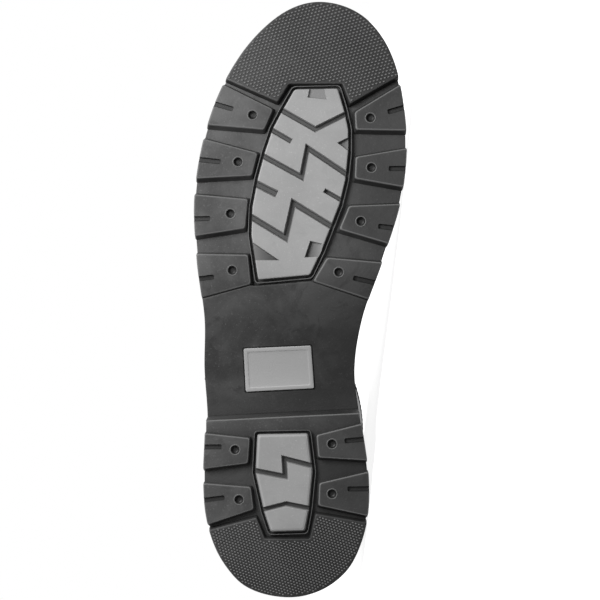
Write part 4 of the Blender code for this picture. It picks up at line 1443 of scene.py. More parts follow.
    def bent(self, bm: BMesh) -> None:
        """Cut a flat mesh into narrow strips and raise them to the sole's side profile.

        Args:
            bm: Mesh to raise.
        """
        bmesh.ops.triangulate(bm, faces=bm.faces[:])
        arch = np.arange(self.sole.arch_back, self.sole.arch_front + 1, 4.0)
        spring = np.arange(self.sole.spring_start, self.sole.length, 5.0)
        low = min(v.co.y for v in bm.verts)
        high = max(v.co.y for v in bm.verts)
        for y in np.concatenate((arch, spring)):
            if low < y < high:
                everything = bm.verts[:] + bm.edges[:] + bm.faces[:]
                bmesh.ops.bisect_plane(bm, geom=everything, plane_co=(0, y, 0), plane_no=(0, 1, 0), dist=1e-4)
        bmesh.ops.triangulate(bm, faces=bm.faces[:])
        rise = self.sole.floor(np.array([v.co.y for v in bm.verts])) - self.sole.lug_depth
        for vert, lift in zip(bm.verts, rise):
            vert.co.z += lift

    @staticmethod
    def joined(target: BMesh, other: BMesh) -> None:
        """Add one mesh to another and use it up.

        Args:
            target: Mesh to add to.
            other: Mesh that is used up.
        """
        mesh = bpy.data.meshes.new("join")
        other.to_mesh(mesh)
        other.free()
        target.from_mesh(mesh)
        bpy.data.meshes.remove(mesh)


@dataclass
class Knurl:
    """Rows of small bumps on a pad."""

    tread: Tread
    tree: RepeatTree
    pitch: float
    rows: float
    length: float
    width: float
    # Tones of the bumps from base to top: painted shade low, painted highlight on top.
    tones: tuple[float, float]
    height: float = 1.0
    edge: float = 1.1
    tone_gain: float = 1.9
    tone_start: float = 0.1

    def cover(self, name: str, polygon: Polygon, slope: float, tip: Tip, finish: Material) -> None:
        """Bumps over a pad.

        Args:
            name: Name of the piece.
            polygon: Corners of the pad.
            slope: Rise of the rows toward the inner side, in degrees.
            tip: End of the sole, of which only the toe springs up.
            finish: Rubber.
        """
        sole, pose = self.tread.sole, self.tread.shop.pose
        corners = np.array([tuple(p) for p in polygon])
        turn = math.radians(slope)
        along = np.array([-math.cos(turn), math.sin(turn)])
        square = np.array([-along[1], along[0]])
        centre = corners.mean(axis=0)
        reach = np.abs(corners - centre).max() * 1.5
        spots = []
        for k, v in enumerate(np.arange(-reach, reach, self.rows)):
            u = np.arange(-reach, reach, self.pitch) + (self.pitch / 2 if k % 2 else 0.0)
            spots.append(centre + u[:, None] * along + v * square)
        spots = np.concatenate(spots)
        spots = spots[self.inside(corners, spots)]
        spring = 1.0 if tip is Tip.TOE else 0.0
        rise = spring * (sole.floor(spots[:, 1]) - sole.lug_depth)
        tilt = spring * (sole.floor(spots[:, 1] + 0.5) - sole.floor(spots[:, 1] - 0.5))
        points = pose.laid(np.column_stack((spots, rise)))
        guide = bpy.data.meshes.new("knurl_guide")
        guide.from_pydata([tuple(p) for p in points], [], [])
        stored = guide.attributes.new("turn", "FLOAT_VECTOR", "POINT")
        angles = []
        for lean in tilt:
            normal = Vector((0.0, -lean, 1.0)).normalized()
            row = Vector((along[0], along[1], along[1] * lean)).normalized()
            axes = Matrix((row, normal.cross(row), normal)).transposed()
            angles.append((pose.turn @ axes).to_euler())
        stored.data.foreach_set("vector", np.array([tuple(e) for e in angles], np.float32).ravel())
        mesh = self.tree.grow(guide, finish, Length=self.length, Width=self.width, Height=self.height)
        spots = np.empty(3 * len(mesh.vertices), np.float32)
        mesh.vertices.foreach_get("co", spots)
        back = np.array(pose.matrix.inverted())
        spots = spots.reshape(-1, 3) @ back[:3, :3].T + back[:3, 3]
        # Painted shade at the bumps' bases and painted highlight on their tops, by height over the pad.
        level = spring * (sole.floor(spots[:, 1]) - sole.lug_depth) - spots[:, 2]
        share = np.clip(level / (self.height / 2) * self.tone_gain - self.tone_start, 0.0, 1.0)
        tone = mesh.attributes.new("tone", "FLOAT", "POINT")
        low, high = self.tones
        tone.data.foreach_set("value", (low + (high - low) * share).astype(np.float32))
        self.tread.shop.place(name, mesh, [finish], Slot.RUBBER, [])

    def inside(self, corners: Array, spots: Array) -> Array:
        """Which spots lie in a polygon and clear of its edge.

        Args:
            corners: Corners of the polygon.
            spots: Spots to test.

        Returns:
            True or false for each spot.
        """
        following = np.roll(corners, -1, axis=0)
        within = np.zeros(len(spots), bool)
        nearest = np.full(len(spots), np.inf)
        for p, q in zip(corners, following):
            crosses = (p[1] > spots[:, 1]) != (q[1] > spots[:, 1])
            run = p[0] + (spots[:, 1] - p[1]) * (q[0] - p[0]) / (q[1] - p[1] if q[1] != p[1] else 1e-9)
            within ^= crosses & (spots[:, 0] < run)
            line = q - p
            share = np.clip(((spots - p) @ line) / max(line @ line, 1e-9), 0.0, 1.0)
            nearest = np.minimum(nearest, np.linalg.norm(spots - p - share[:, None] * line, axis=1))
        return within & (nearest > self.edge)


@dataclass
class Outsole:
    """Moulded sole: slab, thick waist, eight lugs, knurled toe pad and plate recess."""

    tread: Tread
    waist_drop: float = 4.4
    waist_gap: float = 0.8
    breast: tuple[float, float] = (92.3, 96.3)
    draft: Draft = Draft(1.0, 1.5, 2.2, 1.3)
    plate_border: float = 0.6
    # Painted shade near the heel's breast: its strength, where it starts and its run.
    breast_shade: float = 0.65
    breast_shade_front: float = 130.0
    shade_run: float = 32.0
    plate_recess: float = 1.2
    lip: tuple[float, float, float] = (1.35, 2.05, 2.0)
    waist_front: tuple[Point2, ...] = ((18.6, 162.6), (15.0, 162.4), (-12.9, 164.9), (-14.9, 164.1))
    pad_edge: tuple[Point2, ...] = (
        (29.0, 270.5), (4.5, 258.5), (-1.5, 268.0), (-29.5, 268.0), (-33.5, 257.5), (-57.0, 272.0),
    )
    lugs: tuple[Lug, ...] = (
        Lug((31.5, 267.5), (7.0, 254.5), (11.5, 244.0), (40.0, 246.5), (17.5, 251.5), (27.5, 254.5)),
        Lug((43.0, 239.0), (15.0, 231.5), (18.0, 220.0), (46.5, 218.5), (25.0, 227.0), (34.0, 227.0)),
        Lug((47.5, 210.0), (20.0, 207.5), (21.5, 192.5), (46.5, 188.5), (29.0, 200.0), (39.5, 197.5)),
        Lug((46.5, 179.0), (20.0, 178.5), (18.5, 163.5), (43.0, 156.5), (28.0, 170.5), (37.5, 167.0)),
        Lug((-58.5, 267.5), (-36.0, 253.0), (-36.5, 244.0), (-61.5, 243.5), (-44.0, 250.0), (-53.0, 253.0)),
        Lug((-62.5, 234.0), (-36.5, 229.5), (-36.0, 218.5), (-61.0, 214.0), (-44.5, 224.0), (-53.5, 223.5)),
        Lug((-59.0, 205.0), (-33.0, 204.0), (-28.0, 192.0), (-53.5, 184.5), (-39.0, 196.0), (-48.0, 193.5)),
        Lug((-49.0, 174.5), (-21.5, 177.0), (-14.5, 165.0), (-41.5, 155.5), (-27.5, 169.5), (-35.0, 166.5)),
    )

    def slab(self, bm: BMesh) -> None:
        """Slab under the welt, with rounded edges and a fine line round its side.

        Args:
            bm: Mesh to add to.
        """
        sole = self.tread.sole
        low, high = sole.lug_depth, sole.lug_depth + sole.slab
        places = np.linspace(0.0, 1.0, 320, endpoint=False)
        profile = (
            (0.5, low), (0.14, low + 0.14), (0.0, low + 0.5), (0.0, high - 2.2), (0.35, high - 2.05),
            (0.35, high - 1.75), (0.0, high - 1.6), (0.0, high - 0.5), (0.14, high - 0.14), (0.5, high),
        )
        layers = []
        for inset, z in profile:
            ring = sole.inset(places, np.full(len(places), self.tread.rib + inset))
            layers.append(([tuple(p) for p in ring], z))
        stack(bm, layers)

    def waist(self, plate: "ArchPlate") -> BMesh:
        """Thick waist between the heel's breast and the last lugs, with the plate's recess.

        Args:
            plate: Plate that lies in the recess.

        Returns:
            The mesh.
        """
        sole = self.tread.sole
        sides = []
        for side, breast, lug in zip((1, -1), self.breast, (self.lugs[3], self.lugs[7])):
            edge = sole.run(side, breast, lug.outer_heel[1] - self.waist_gap, 24)
            sides.append([p - side * Vector((self.tread.rib / 2, 0.0)) for p in edge])
        polygon = sides[0] + [Vector(p) for p in self.waist_front] + sides[1][::-1]
        bottom = sole.lug_depth - self.waist_drop
        bm = toned_mesh()
        self.tread.block(bm, polygon, [0.0] * len(polygon), bottom, bottom + 4.0,
                         self.tread.rib_top - 0.5, self.tread.worn)
        recess = bmesh.new()
        shape = rounded(grown(plate.corners, [self.plate_border] * 4), 1.0)
        stack(recess, ((shape, bottom - 1.0), (shape, bottom + self.plate_recess)))
        whole = self.tread.shop.cut(bm, recess)
        # Painted shade: the waist darkens toward the heel's breast, where the heel block shades it.
        tone = whole.verts.layers.float["tone"]
        for vert in whole.verts:
            near = min(max((self.breast_shade_front - vert.co.y) / self.shade_run, 0.0), 1.0)
            vert[tone] = -self.breast_shade * near * near
        return whole

    def make(self, finishes: Finishes, plate: "ArchPlate", insert: "Insert") -> None:
        """Build the outsole.

        Args:
            finishes: Finishes of the boot.
            plate: Plate in the waist.
            insert: Pale insert of the forefoot.
        """
        whole = toned_mesh()
        self.slab(whole)
        lugs = toned_mesh()
        self.tread.lugs(lugs, self.lugs, self.draft)
        Tread.joined(whole, self.tread.dug(lugs, self.lugs))
        Tread.joined(whole, self.waist(plate))
        self.tread.pad(whole, self.pad_edge, Tip.TOE, self.draft)
        self.tread.dimple_rims(whole, self.lugs)
        self.tread.moat_rim(whole, insert.corners, *self.lip)
        self.tread.bent(whole)
        self.tread.shop.release("sole_tread", whole, [finishes.rubber], Slot.RUBBER, ["outsole"], Crisp.TREAD)


@dataclass
class HeelBlock:
    """Moulded heel with four lugs and its knurled rear pad."""

    tread: Tread
    fit: float = 0.3
    breast: tuple[float, float] = (92.0, 96.0)
    draft: Draft = Draft(0.6, 1.2, 1.6, 0.9)
    steps: int = 60
    ledge: tuple[float, float] = (85.0, 90.0)
    # Tone of painted shade on the low face between the lugs, and of the breast edge, lightened as edge wear
    # and painted highlight.
    ground_shade: float = -0.55
    ledge_wear_and_highlight: float = 0.9
    lip: tuple[float, float, float] = (1.2, 1.8, 2.2)
    pad_edge: tuple[Point2, ...] = (
        (39.5, 35.0), (15.5, 41.5), (11.0, 30.5), (-12.5, 30.5), (-15.5, 43.5), (-42.0, 39.0),
    )
    lugs: tuple[Lug, ...] = (
        Lug((42.0, 85.5), (19.0, 83.0), (20.0, 70.0), (43.0, 67.0), (26.5, 77.0), (33.5, 78.5)),
        Lug((43.0, 59.5), (18.5, 57.5), (17.0, 46.0), (40.0, 38.0), (24.5, 51.0), (32.0, 52.0)),
        Lug((-38.5, 90.5), (-16.0, 84.5), (-17.0, 73.0), (-41.5, 71.5), (-24.0, 80.0), (-30.5, 81.5)),
        Lug((-41.5, 65.5), (-17.5, 59.5), (-17.0, 48.0), (-42.5, 42.5), (-24.0, 54.0), (-32.0, 56.5)),
    )

    def make(self, finishes: Finishes, insert: "Insert") -> None:
        """Build the heel.

        Args:
            finishes: Finishes of the boot.
            insert: Pale insert of the heel.
        """
        tread, sole = self.tread, self.tread.sole
        whole = toned_mesh()
        ends = [math.acos(1 - 2 * y / sole.length) / math.pi / 2 for y in self.breast]
        ring = [Vector(p) for p in sole.inset(np.linspace(-ends[1], ends[0], self.steps + 1),
                                              np.full(self.steps + 1, tread.rib))]
        top = sole.lug_depth + sole.heel_rise - self.fit
        drafts = [0.0] * self.steps + [0.8]
        foot = grown(ring, drafts)
        layers = []
        for inset, rise in ((0.9, 0.0), (0.5, 0.06), (0.14, 0.34), (0.0, 0.9)):
            layers.append((grown(ring, [-inset] * len(ring)), sole.lug_depth + rise))
        for inset, z in ((0.0, top - 9.2), (0.45, top - 9.0), (0.45, top - 8.6), (0.0, top - 8.4),
                         (0.0, top - 0.4), (0.3, top)):
            layers.append((grown(foot, [-inset] * self.steps + [0.0]), z))
        stack(whole, layers)
        self.shade_ground_wear_ledge(whole)
        lugs = toned_mesh()
        tread.lugs(lugs, self.lugs, self.draft)
        Tread.joined(whole, tread.dug(lugs, self.lugs))
        tread.pad(whole, self.pad_edge, Tip.HEEL, self.draft)
        tread.dimple_rims(whole, self.lugs)
        tread.moat_rim(whole, insert.corners, *self.lip)
        bmesh.ops.triangulate(whole, faces=whole.faces[:])
        tread.shop.release("heel_tread", whole, [finishes.rubber], Slot.RUBBER, ["heel"], Crisp.TREAD)

    def shade_ground_wear_ledge(self, bm: BMesh) -> None:
        """Darken the low face between the lugs with painted shade, and lighten the edge of the breast as edge
        wear and painted highlight.

        Args:
            bm: Mesh of the block.
        """
        rear, front = self.ledge
        for y in self.ledge:
            bmesh.ops.bisect_plane(bm, geom=bm.verts[:] + bm.edges[:] + bm.faces[:], plane_co=(0, y, 0),
                                   plane_no=(0, 1, 0), dist=1e-4)
        tone = bm.verts.layers.float["tone"]
        for vert in bm.verts:
            rise = vert.co.z - self.tread.sole.lug_depth
            # Breast edge lightened as edge wear and painted highlight; below it, painted shade between the
            # lugs.
            if vert.co.y > front + 0.5:
                vert[tone] = self.ledge_wear_and_highlight if 0.03 < rise < 0.5 else 0.0
            elif rise < 0.5:
                vert[tone] = self.ground_shade * min((vert.co.y - front) / (rear - front), 1.0)


class Groove(NamedTuple):
    """Groove of an insert: width, run past its open ends, and its line."""

    width: float
    start_run: float
    end_run: float
    line: tuple[Point2, ...]


class Pocket(NamedTuple):
    """Pocket of an insert: its corners and the depth at each."""

    corners: tuple[Point2, ...]
    depths: tuple[float, ...]


@dataclass
class Insert:
    """Pale tread block with its own grooves."""

    tread: Tread
    name: str
    node: str
    corners: tuple[Point2, ...]
    grooves: tuple[Groove, ...]
    pockets: tuple[Pocket, ...]
    bent: bool
    edge: float
    depth: float = 3.0
    mouth_share: float = 1.14
    floor_share: float = 0.5
    # Depth where painted shade in the grooves begins, and above it the tone of the edges, lightened as edge
    # wear and painted highlight.
    groove_shade_start: float = 0.3
    rim: float = 0.5
    fit: float = 0.3
    over: float = 0.5
    rounding: float = 0.5
    corner: float = 1.2
    pocket_lean: float = 0.5

    def make(self, finishes: Finishes) -> None:
        """Build the insert.

        Args:
            finishes: Finishes of the boot.
        """
        body = bmesh.new()
        layers = []
        for inset, z in ((self.edge, 0.0), (self.edge * 0.5, self.edge * 0.17), (0.06, self.edge * 0.7),
                         (0.0, self.edge * 1.4), (0.0, self.tread.sole.lug_depth - self.fit)):
            shape = grown(self.corners, [-inset] * len(self.corners))
            layers.append((rounded(shape, self.corner), z))
        stack(body, layers)
        cuts = bmesh.new()
        for groove in self.grooves:
            mouth = channel(groove.line, groove.width * self.mouth_share, groove.start_run, groove.end_run)
            bottom = channel(groove.line, groove.width * self.floor_share, groove.start_run, groove.end_run)
            stack(cuts, ((mouth, -self.over), (bottom, self.depth)))
        for pocket in self.pockets:
            floor = grown(pocket.corners, [-self.pocket_lean] * len(pocket.corners))
            rings = loft(cuts, [[(*p, -self.over) for p in pocket.corners],
                                [(*p, depth) for p, depth in zip(floor, pocket.depths)]], False)
            cuts.faces.new(rings[0])
            cuts.faces.new(rings[1])
        whole = self.tread.shop.cut(body, cuts, self.rounding)
        tone = whole.verts.layers.float.new("tone")
        # Painted highlight on the rounded edges near the top, partly edge wear, and painted shade deepening
        # down the grooves and pockets.
        for vert in whole.verts:
            sunk = (vert.co.z - self.groove_shade_start) / (self.depth - self.groove_shade_start)
            vert[tone] = self.rim if 0.01 < vert.co.z < self.groove_shade_start else -min(max(sunk, 0.0), 1.0)
        if self.bent:
            self.tread.bent(whole)
        else:
            bmesh.ops.triangulate(whole, faces=whole.faces[:])
        self.tread.shop.release(self.name, whole, [finishes.pale], Slot.PALE, [self.node], Crisp.INSERT)


@dataclass
class ArchPlate:
    """Bare pale plate in the waist, with a shallow sunk panel."""

    tread: Tread
    corners: tuple[Point2, ...] = ((22.6, 129.3), (-13.2, 130.9), (-14.9, 107.8), (21.7, 105.9))
    proud: float = 0.8
    recess: float = 1.2
    fit: float = 0.3
    drop: float = 4.4
    corner: float = 1.1
    tone: float = 0.9

    def make(self, finishes: Finishes) -> None:
        """Build the plate.

        Args:
            finishes: Finishes of the boot.
        """
        level = self.tread.sole.lug_depth - self.drop
        low = level - self.proud
        layers = []
        for inset, z in ((2.6, low + 0.22), (2.2, low + 0.18), (1.9, low), (0.6, low), (0.18, low + 0.14),
                         (0.0, low + 0.5), (0.0, level + self.recess - self.fit)):
            layers.append((rounded(grown(self.corners, [-inset] * 4), self.corner), z))
        bm = toned_mesh()
        stack(bm, layers, [self.tone] * len(layers))
        self.tread.bent(bm)
        self.tread.shop.release("waist_plate", bm, [finishes.pale], Slot.PALE, ["arch_plate"], Crisp.TREAD)


# Leather


@dataclass
class Welt:
    """Leather welt round the upper, with its row of stitches."""

    sole: SoleForm
    shop: Workshop
    inset: float = 0.8
    thick: float = 3.4
    fit: float = 0.3
    steps: int = 360
    stitch_share: float = 0.45

    def make(self, finishes: Finishes, seamstress: Seamstress) -> None:
        """Build the welt and its stitches.

        Args:
            finishes: Finishes of the boot.
            seamstress: Who sews the rows.
        """
        places = np.linspace(0.0, 1.0, self.steps, endpoint=False)
        width = self.sole.margin(places) - self.fit - self.inset
        profile = (
            (0.0, 0.25), (0.0, 0.75), (0.03, 0.92), (0.09, 1.0), (0.36, 1.0), (0.41, 0.90),
            (0.49, 0.90), (0.54, 1.0), (1.0, 1.0), (1.0, 0.0), (0.09, 0.0), (0.03, 0.08),
        )
        rings = []
        for share, height in profile:
            ring = self.sole.inset(places, self.inset + share * width)
            rings.append(np.column_stack((ring, self.sole.seat(ring[:, 1]) + self.fit + height * self.thick)))
        bm = bmesh.new()
        loft(bm, rings, True)
        self.shop.release("welt_strip", bm, [finishes.welt], Slot.WELT, ["welt"], Crisp.BOARD)
        loop = np.append(places, 1.0)
        middle = self.sole.inset(loop, self.inset + self.stitch_share * np.append(width, width[0]))
        height = self.sole.seat(middle[:, 1]) + self.fit + self.thick * 0.95
        line = np.column_stack((middle, height))
        seamstress.sew("welt_stitches", [line], finishes.welt_thread, Slot.WELT, 4.2, 1.05)


@dataclass
class Insole:
    """Leather board that closes the upper underneath."""

    sole: SoleForm
    shop: Workshop
    inset: float = 3.2
    thick: float = 4.0
    fit: float = 0.3
    steps: int = 200

    def make(self, finishes: Finishes) -> None:
        """Build the board.

        Args:
            finishes: Finishes of the boot.
        """
        places = np.linspace(0.0, 1.0, self.steps, endpoint=False)
        bm = bmesh.new()
        made = []
        for inset, share in ((0.5, 0.0), (0.0, 0.12), (0.0, 0.82), (0.3, 0.96), (0.9, 1.0)):
            ring = self.sole.inset(places, self.sole.margin(places) + self.inset + inset)
            height = self.sole.seat(ring[:, 1]) + self.fit + share * self.thick
            made.append(np.column_stack((ring, height)))
        rings = loft(bm, made, False)
        half = self.steps // 2
        for ring in (rings[0], rings[-1]):
            loop = ring + ring[:1]
            for i in range(half):
                corners = (loop[i], loop[i + 1], loop[self.steps - i - 1], loop[self.steps - i])
                bm.faces.new(list(dict.fromkeys(corners)))
        self.shop.release("insole_liner", bm, [finishes.board], Slot.BOARD, ["insole"], Crisp.BOARD)


class Crease(NamedTuple):
    """Soft trough of the leather: place, turn of its line, half its length, width, depth and bow."""

    around: float
    level: float
    turn: float
    reach: float
    width: float
    depth: float
    bow: float


@dataclass
class Upper:
    """Vamp and shaft as one hollow leather shell with a lining."""

    form: UpperForm
    shop: Workshop
    columns: int = 260
    inner_rows: int = 70
    crease_room: float = 22.0
    ridge_place: float = 2.1
    ridge_width: float = 1.2
    ridge_share: float = 0.32
    creases: tuple[Crease, ...] = (
        Crease(0.500, 7.55, 0.0, 30.0, 3.0, 0.95, 0.10),
        Crease(0.488, 8.15, 4.0, 26.0, 2.8, 0.85, 0.08),
        Crease(0.512, 7.00, -3.0, 24.0, 2.6, 0.60, 0.12),
        Crease(0.400, 5.30, 34.0, 20.0, 2.6, 0.70, -0.10),
        Crease(0.612, 5.40, -32.0, 18.0, 2.6, 0.65, 0.10),
        Crease(0.500, 10.95, 0.0, 30.0, 4.2, 1.30, -0.08),
        Crease(0.470, 11.60, 8.0, 34.0, 4.6, 1.15, -0.06),
        Crease(0.330, 11.10, 20.0, 30.0, 4.0, 1.05, 0.08),
        Crease(0.230, 11.75, -10.0, 28.0, 4.4, 0.95, -0.08),
        Crease(0.660, 11.20, -18.0, 28.0, 4.0, 0.90, 0.08),
        Crease(0.760, 11.80, 12.0, 26.0, 4.2, 0.80, 0.06),
        Crease(0.120, 11.30, 14.0, 22.0, 4.0, 0.80, 0.10),
        Crease(0.290, 12.70, 10.0, 32.0, 5.5, 0.90, -0.05),
        Crease(0.430, 12.95, -8.0, 26.0, 5.0, 0.75, 0.06),
        Crease(0.180, 12.60, -16.0, 24.0, 5.2, 0.70, 0.08),
    )

    def fold(self, points: Array, normals: Array) -> Array:
        """Lift of the surface by the creases.

        Args:
            points: Points of the surface.
            normals: Its directions there.

        Returns:
            The lift of each point.
        """
        lift = np.zeros(len(points))
        for crease in self.creases:
            a, t = np.array([crease.around]), np.array([crease.level])
            centre = self.form.point(a, t)[0]
            normal = self.form.normal(a, t)[0]
            across = self.form.point(a + 0.004, t)[0] - self.form.point(a - 0.004, t)[0]
            across /= np.linalg.norm(across)
            upward = np.cross(normal, across)
            turn = math.radians(crease.turn)
            line = across * math.cos(turn) + upward * math.sin(turn)
            square = np.cross(normal, line)
            away = points - centre
            u = away @ line
            v = away @ square - crease.bow * u * u / crease.reach
            window = np.exp(-((u / crease.reach) ** 4))
            window = window * np.exp(-((away @ normal) / self.crease_room) ** 2)
            window = window * np.clip(normals @ normal * 2.0, 0.0, 1.0)
            trough = np.exp(-((v / crease.width) ** 2))
            beside = np.abs(v) - self.ridge_place * crease.width
            ridge = np.exp(-((beside / (self.ridge_width * crease.width)) ** 2))
            lift += window * crease.depth * (self.ridge_share * ridge - trough)
        return lift

    def levels(self) -> tuple[Array, Array]:
        """Section numbers of the outer rings and the lift of the wall's face there.

        Returns:
            The numbers and the lifts.
        """
        line, collar = self.form.vamp_line, self.form.collar_line
        step, fold = -self.form.shaft_step, -self.form.collar_step
        runs = [
            (np.linspace(0.0, 3.0, 26), 0.0), (np.linspace(3.06, line - 0.03, 84), 0.0),
            (np.array([line - 0.012]), 0.3 * step), (np.array([line]), step),
            (np.linspace(line + 0.03, collar - 0.015, 74), step), (np.array([collar]), fold - 0.25),
            (np.array([collar + 0.012]), fold - 0.05),
            (np.linspace(collar + 0.03, self.form.top() - 0.035, 7), fold),
        ]
        numbers = np.concatenate([run for run, _ in runs])
        lifts = np.concatenate([np.full(len(run), lift) for run, lift in runs])
        return numbers, lifts

    def make(self, finishes: Finishes) -> None:
        """Build the shell.

        Args:
            finishes: Finishes of the boot.
        """
        places = np.linspace(0.0, 1.0, self.columns, endpoint=False)
        numbers, lifts = self.levels()
        grid_t, grid_a = np.meshgrid(numbers, places, indexing="ij")
        points = self.form.point(grid_a, grid_t).reshape(-1, 3)
        normals = self.form.normal(grid_a, grid_t).reshape(-1, 3)
        lift = np.repeat(lifts, self.columns) + self.fold(points, normals)
        outer = (points + lift[:, None] * normals).reshape(len(numbers), self.columns, 3)
        top = np.full(self.columns, self.form.top())
        rim_normal = self.form.normal(places, top)
        rim = self.form.point(places, top)
        upward = rim - self.form.point(places, top - 0.05)
        upward /= np.linalg.norm(upward, axis=1, keepdims=True)
        middle = (self.form.wall + self.form.collar_step) / 2
        half = (self.form.wall - self.form.collar_step) / 2
        roll = []
        for q in np.radians((25, 55, 90, 125, 155)):
            roll.append(rim + rim_normal * (half * math.cos(q) - middle) + upward * (0.9 * math.sin(q) - 0.9))
        levels = np.linspace(self.form.top() - 0.035, 0.0, self.inner_rows)
        depth = np.full(self.columns, -self.form.wall)
        inner = [self.form.lifted(places, np.full(self.columns, t), depth) for t in levels]
        bm = bmesh.new()
        rings = list(outer) + roll + inner
        made = loft(bm, rings, True)
        lining = {vert for ring in made[len(outer) + 4:] for vert in ring}
        for face in bm.faces:
            if all(vert in lining for vert in face.verts):
                face.material_index = 1
        both = [finishes.leather, finishes.lining]
        self.shop.release("boot_upper", bm, both, Slot.LEATHER, ["upper"], Crisp.ROUND)

    def seams(self, finishes: Finishes, seamstress: Seamstress) -> None:
        """Stitch rows along the vamp line and under the collar's fold.

        Args:
            finishes: Finishes of the boot.
            seamstress: Who sews the rows.
        """
        places = np.linspace(0.0, 1.0, 400)
        lines = []
        for t, lift in ((self.form.vamp_line - 0.16, 0.12), (self.form.vamp_line - 0.30, 0.12),
                        (self.form.collar_line + 0.09, -self.form.collar_step - 0.2)):
            level = np.full(len(places), t)
            points = self.form.point(places, level)
            normals = self.form.normal(places, level)
            lines.append(points + (lift + self.fold(points, normals))[:, None] * normals)
        seamstress.sew("upper_stitches", lines, finishes.thread, Slot.LEATHER, 3.0, 0.8)


@dataclass
class Overlays:
    """Heel counter cover and back strip."""

    form: UpperForm
    shop: Workshop
    fit: float = 0.65
    thick: float = 1.6
    reach: float = 0.165
    back: float = 9.4
    front: float = 4.0
    strip_reach: float = 0.022
    strip_span: tuple[float, float] = (10.15, 14.55)

    def top(self, share: Array) -> Array:
        """Section number of the counter's upper edge across it."""
        return self.front + (self.back - self.front) * (1 - share**2)

    def cover(self, share: Array, height: Array, lift: Array) -> Array:
        """Point of the counter at shares across and up it, off the upper."""
        level = self.form.foot + (self.top(share) - self.form.foot) * height
        return self.form.lifted(share * self.reach, level, lift)

    def strip(self, height: Array, share: Array, lift: Array) -> Array:
        """Point of the back strip at a level and a share across it, off the upper."""
        return self.form.lifted(share * self.strip_reach, height, lift)

    def make(self, finishes: Finishes, seamstress: Seamstress) -> None:
        """Build both overlays and their stitches.

        Args:
            finishes: Finishes of the boot.
            seamstress: Who sews the rows.
        """
        bm = bmesh.new()
        across = eased(-1.0, 1.0, 90, 0.015)
        panel(bm, self.cover, across, eased(0.0, 1.0, 40, 0.015), np.full(len(across), self.fit), self.thick)
        self.shop.release("heel_counter", bm, [finishes.leather], Slot.LEATHER, ["counter"], Crisp.ROUND)
        bm = bmesh.new()
        low = self.fit - self.form.shaft_step
        along = eased(*self.strip_span, 70, 0.03)
        panel(bm, self.strip, along, eased(-1.0, 1.0, 10, 0.16), np.full(len(along), low), self.thick)
        self.shop.release("back_strip", bm, [finishes.leather], Slot.LEATHER, ["backstay"], Crisp.ROUND)
        share = np.linspace(-0.965, 0.965, 260)
        lift = np.full(len(share), self.fit + self.thick + 0.1)
        lines = [self.cover(share, np.full(len(share), height), lift) for height in (0.955, 0.915)]
        level = np.linspace(self.strip_span[0] + 0.05, self.strip_span[1] - 0.05, 120)
        lift = np.full(len(level), low + self.thick + 0.1)
        for side in (-0.66, 0.66):
            lines.append(self.strip(level, np.full(len(level), side), lift))
        seamstress.sew("overlay_stitches", lines, finishes.thread, Slot.LEATHER, 3.0, 0.8)


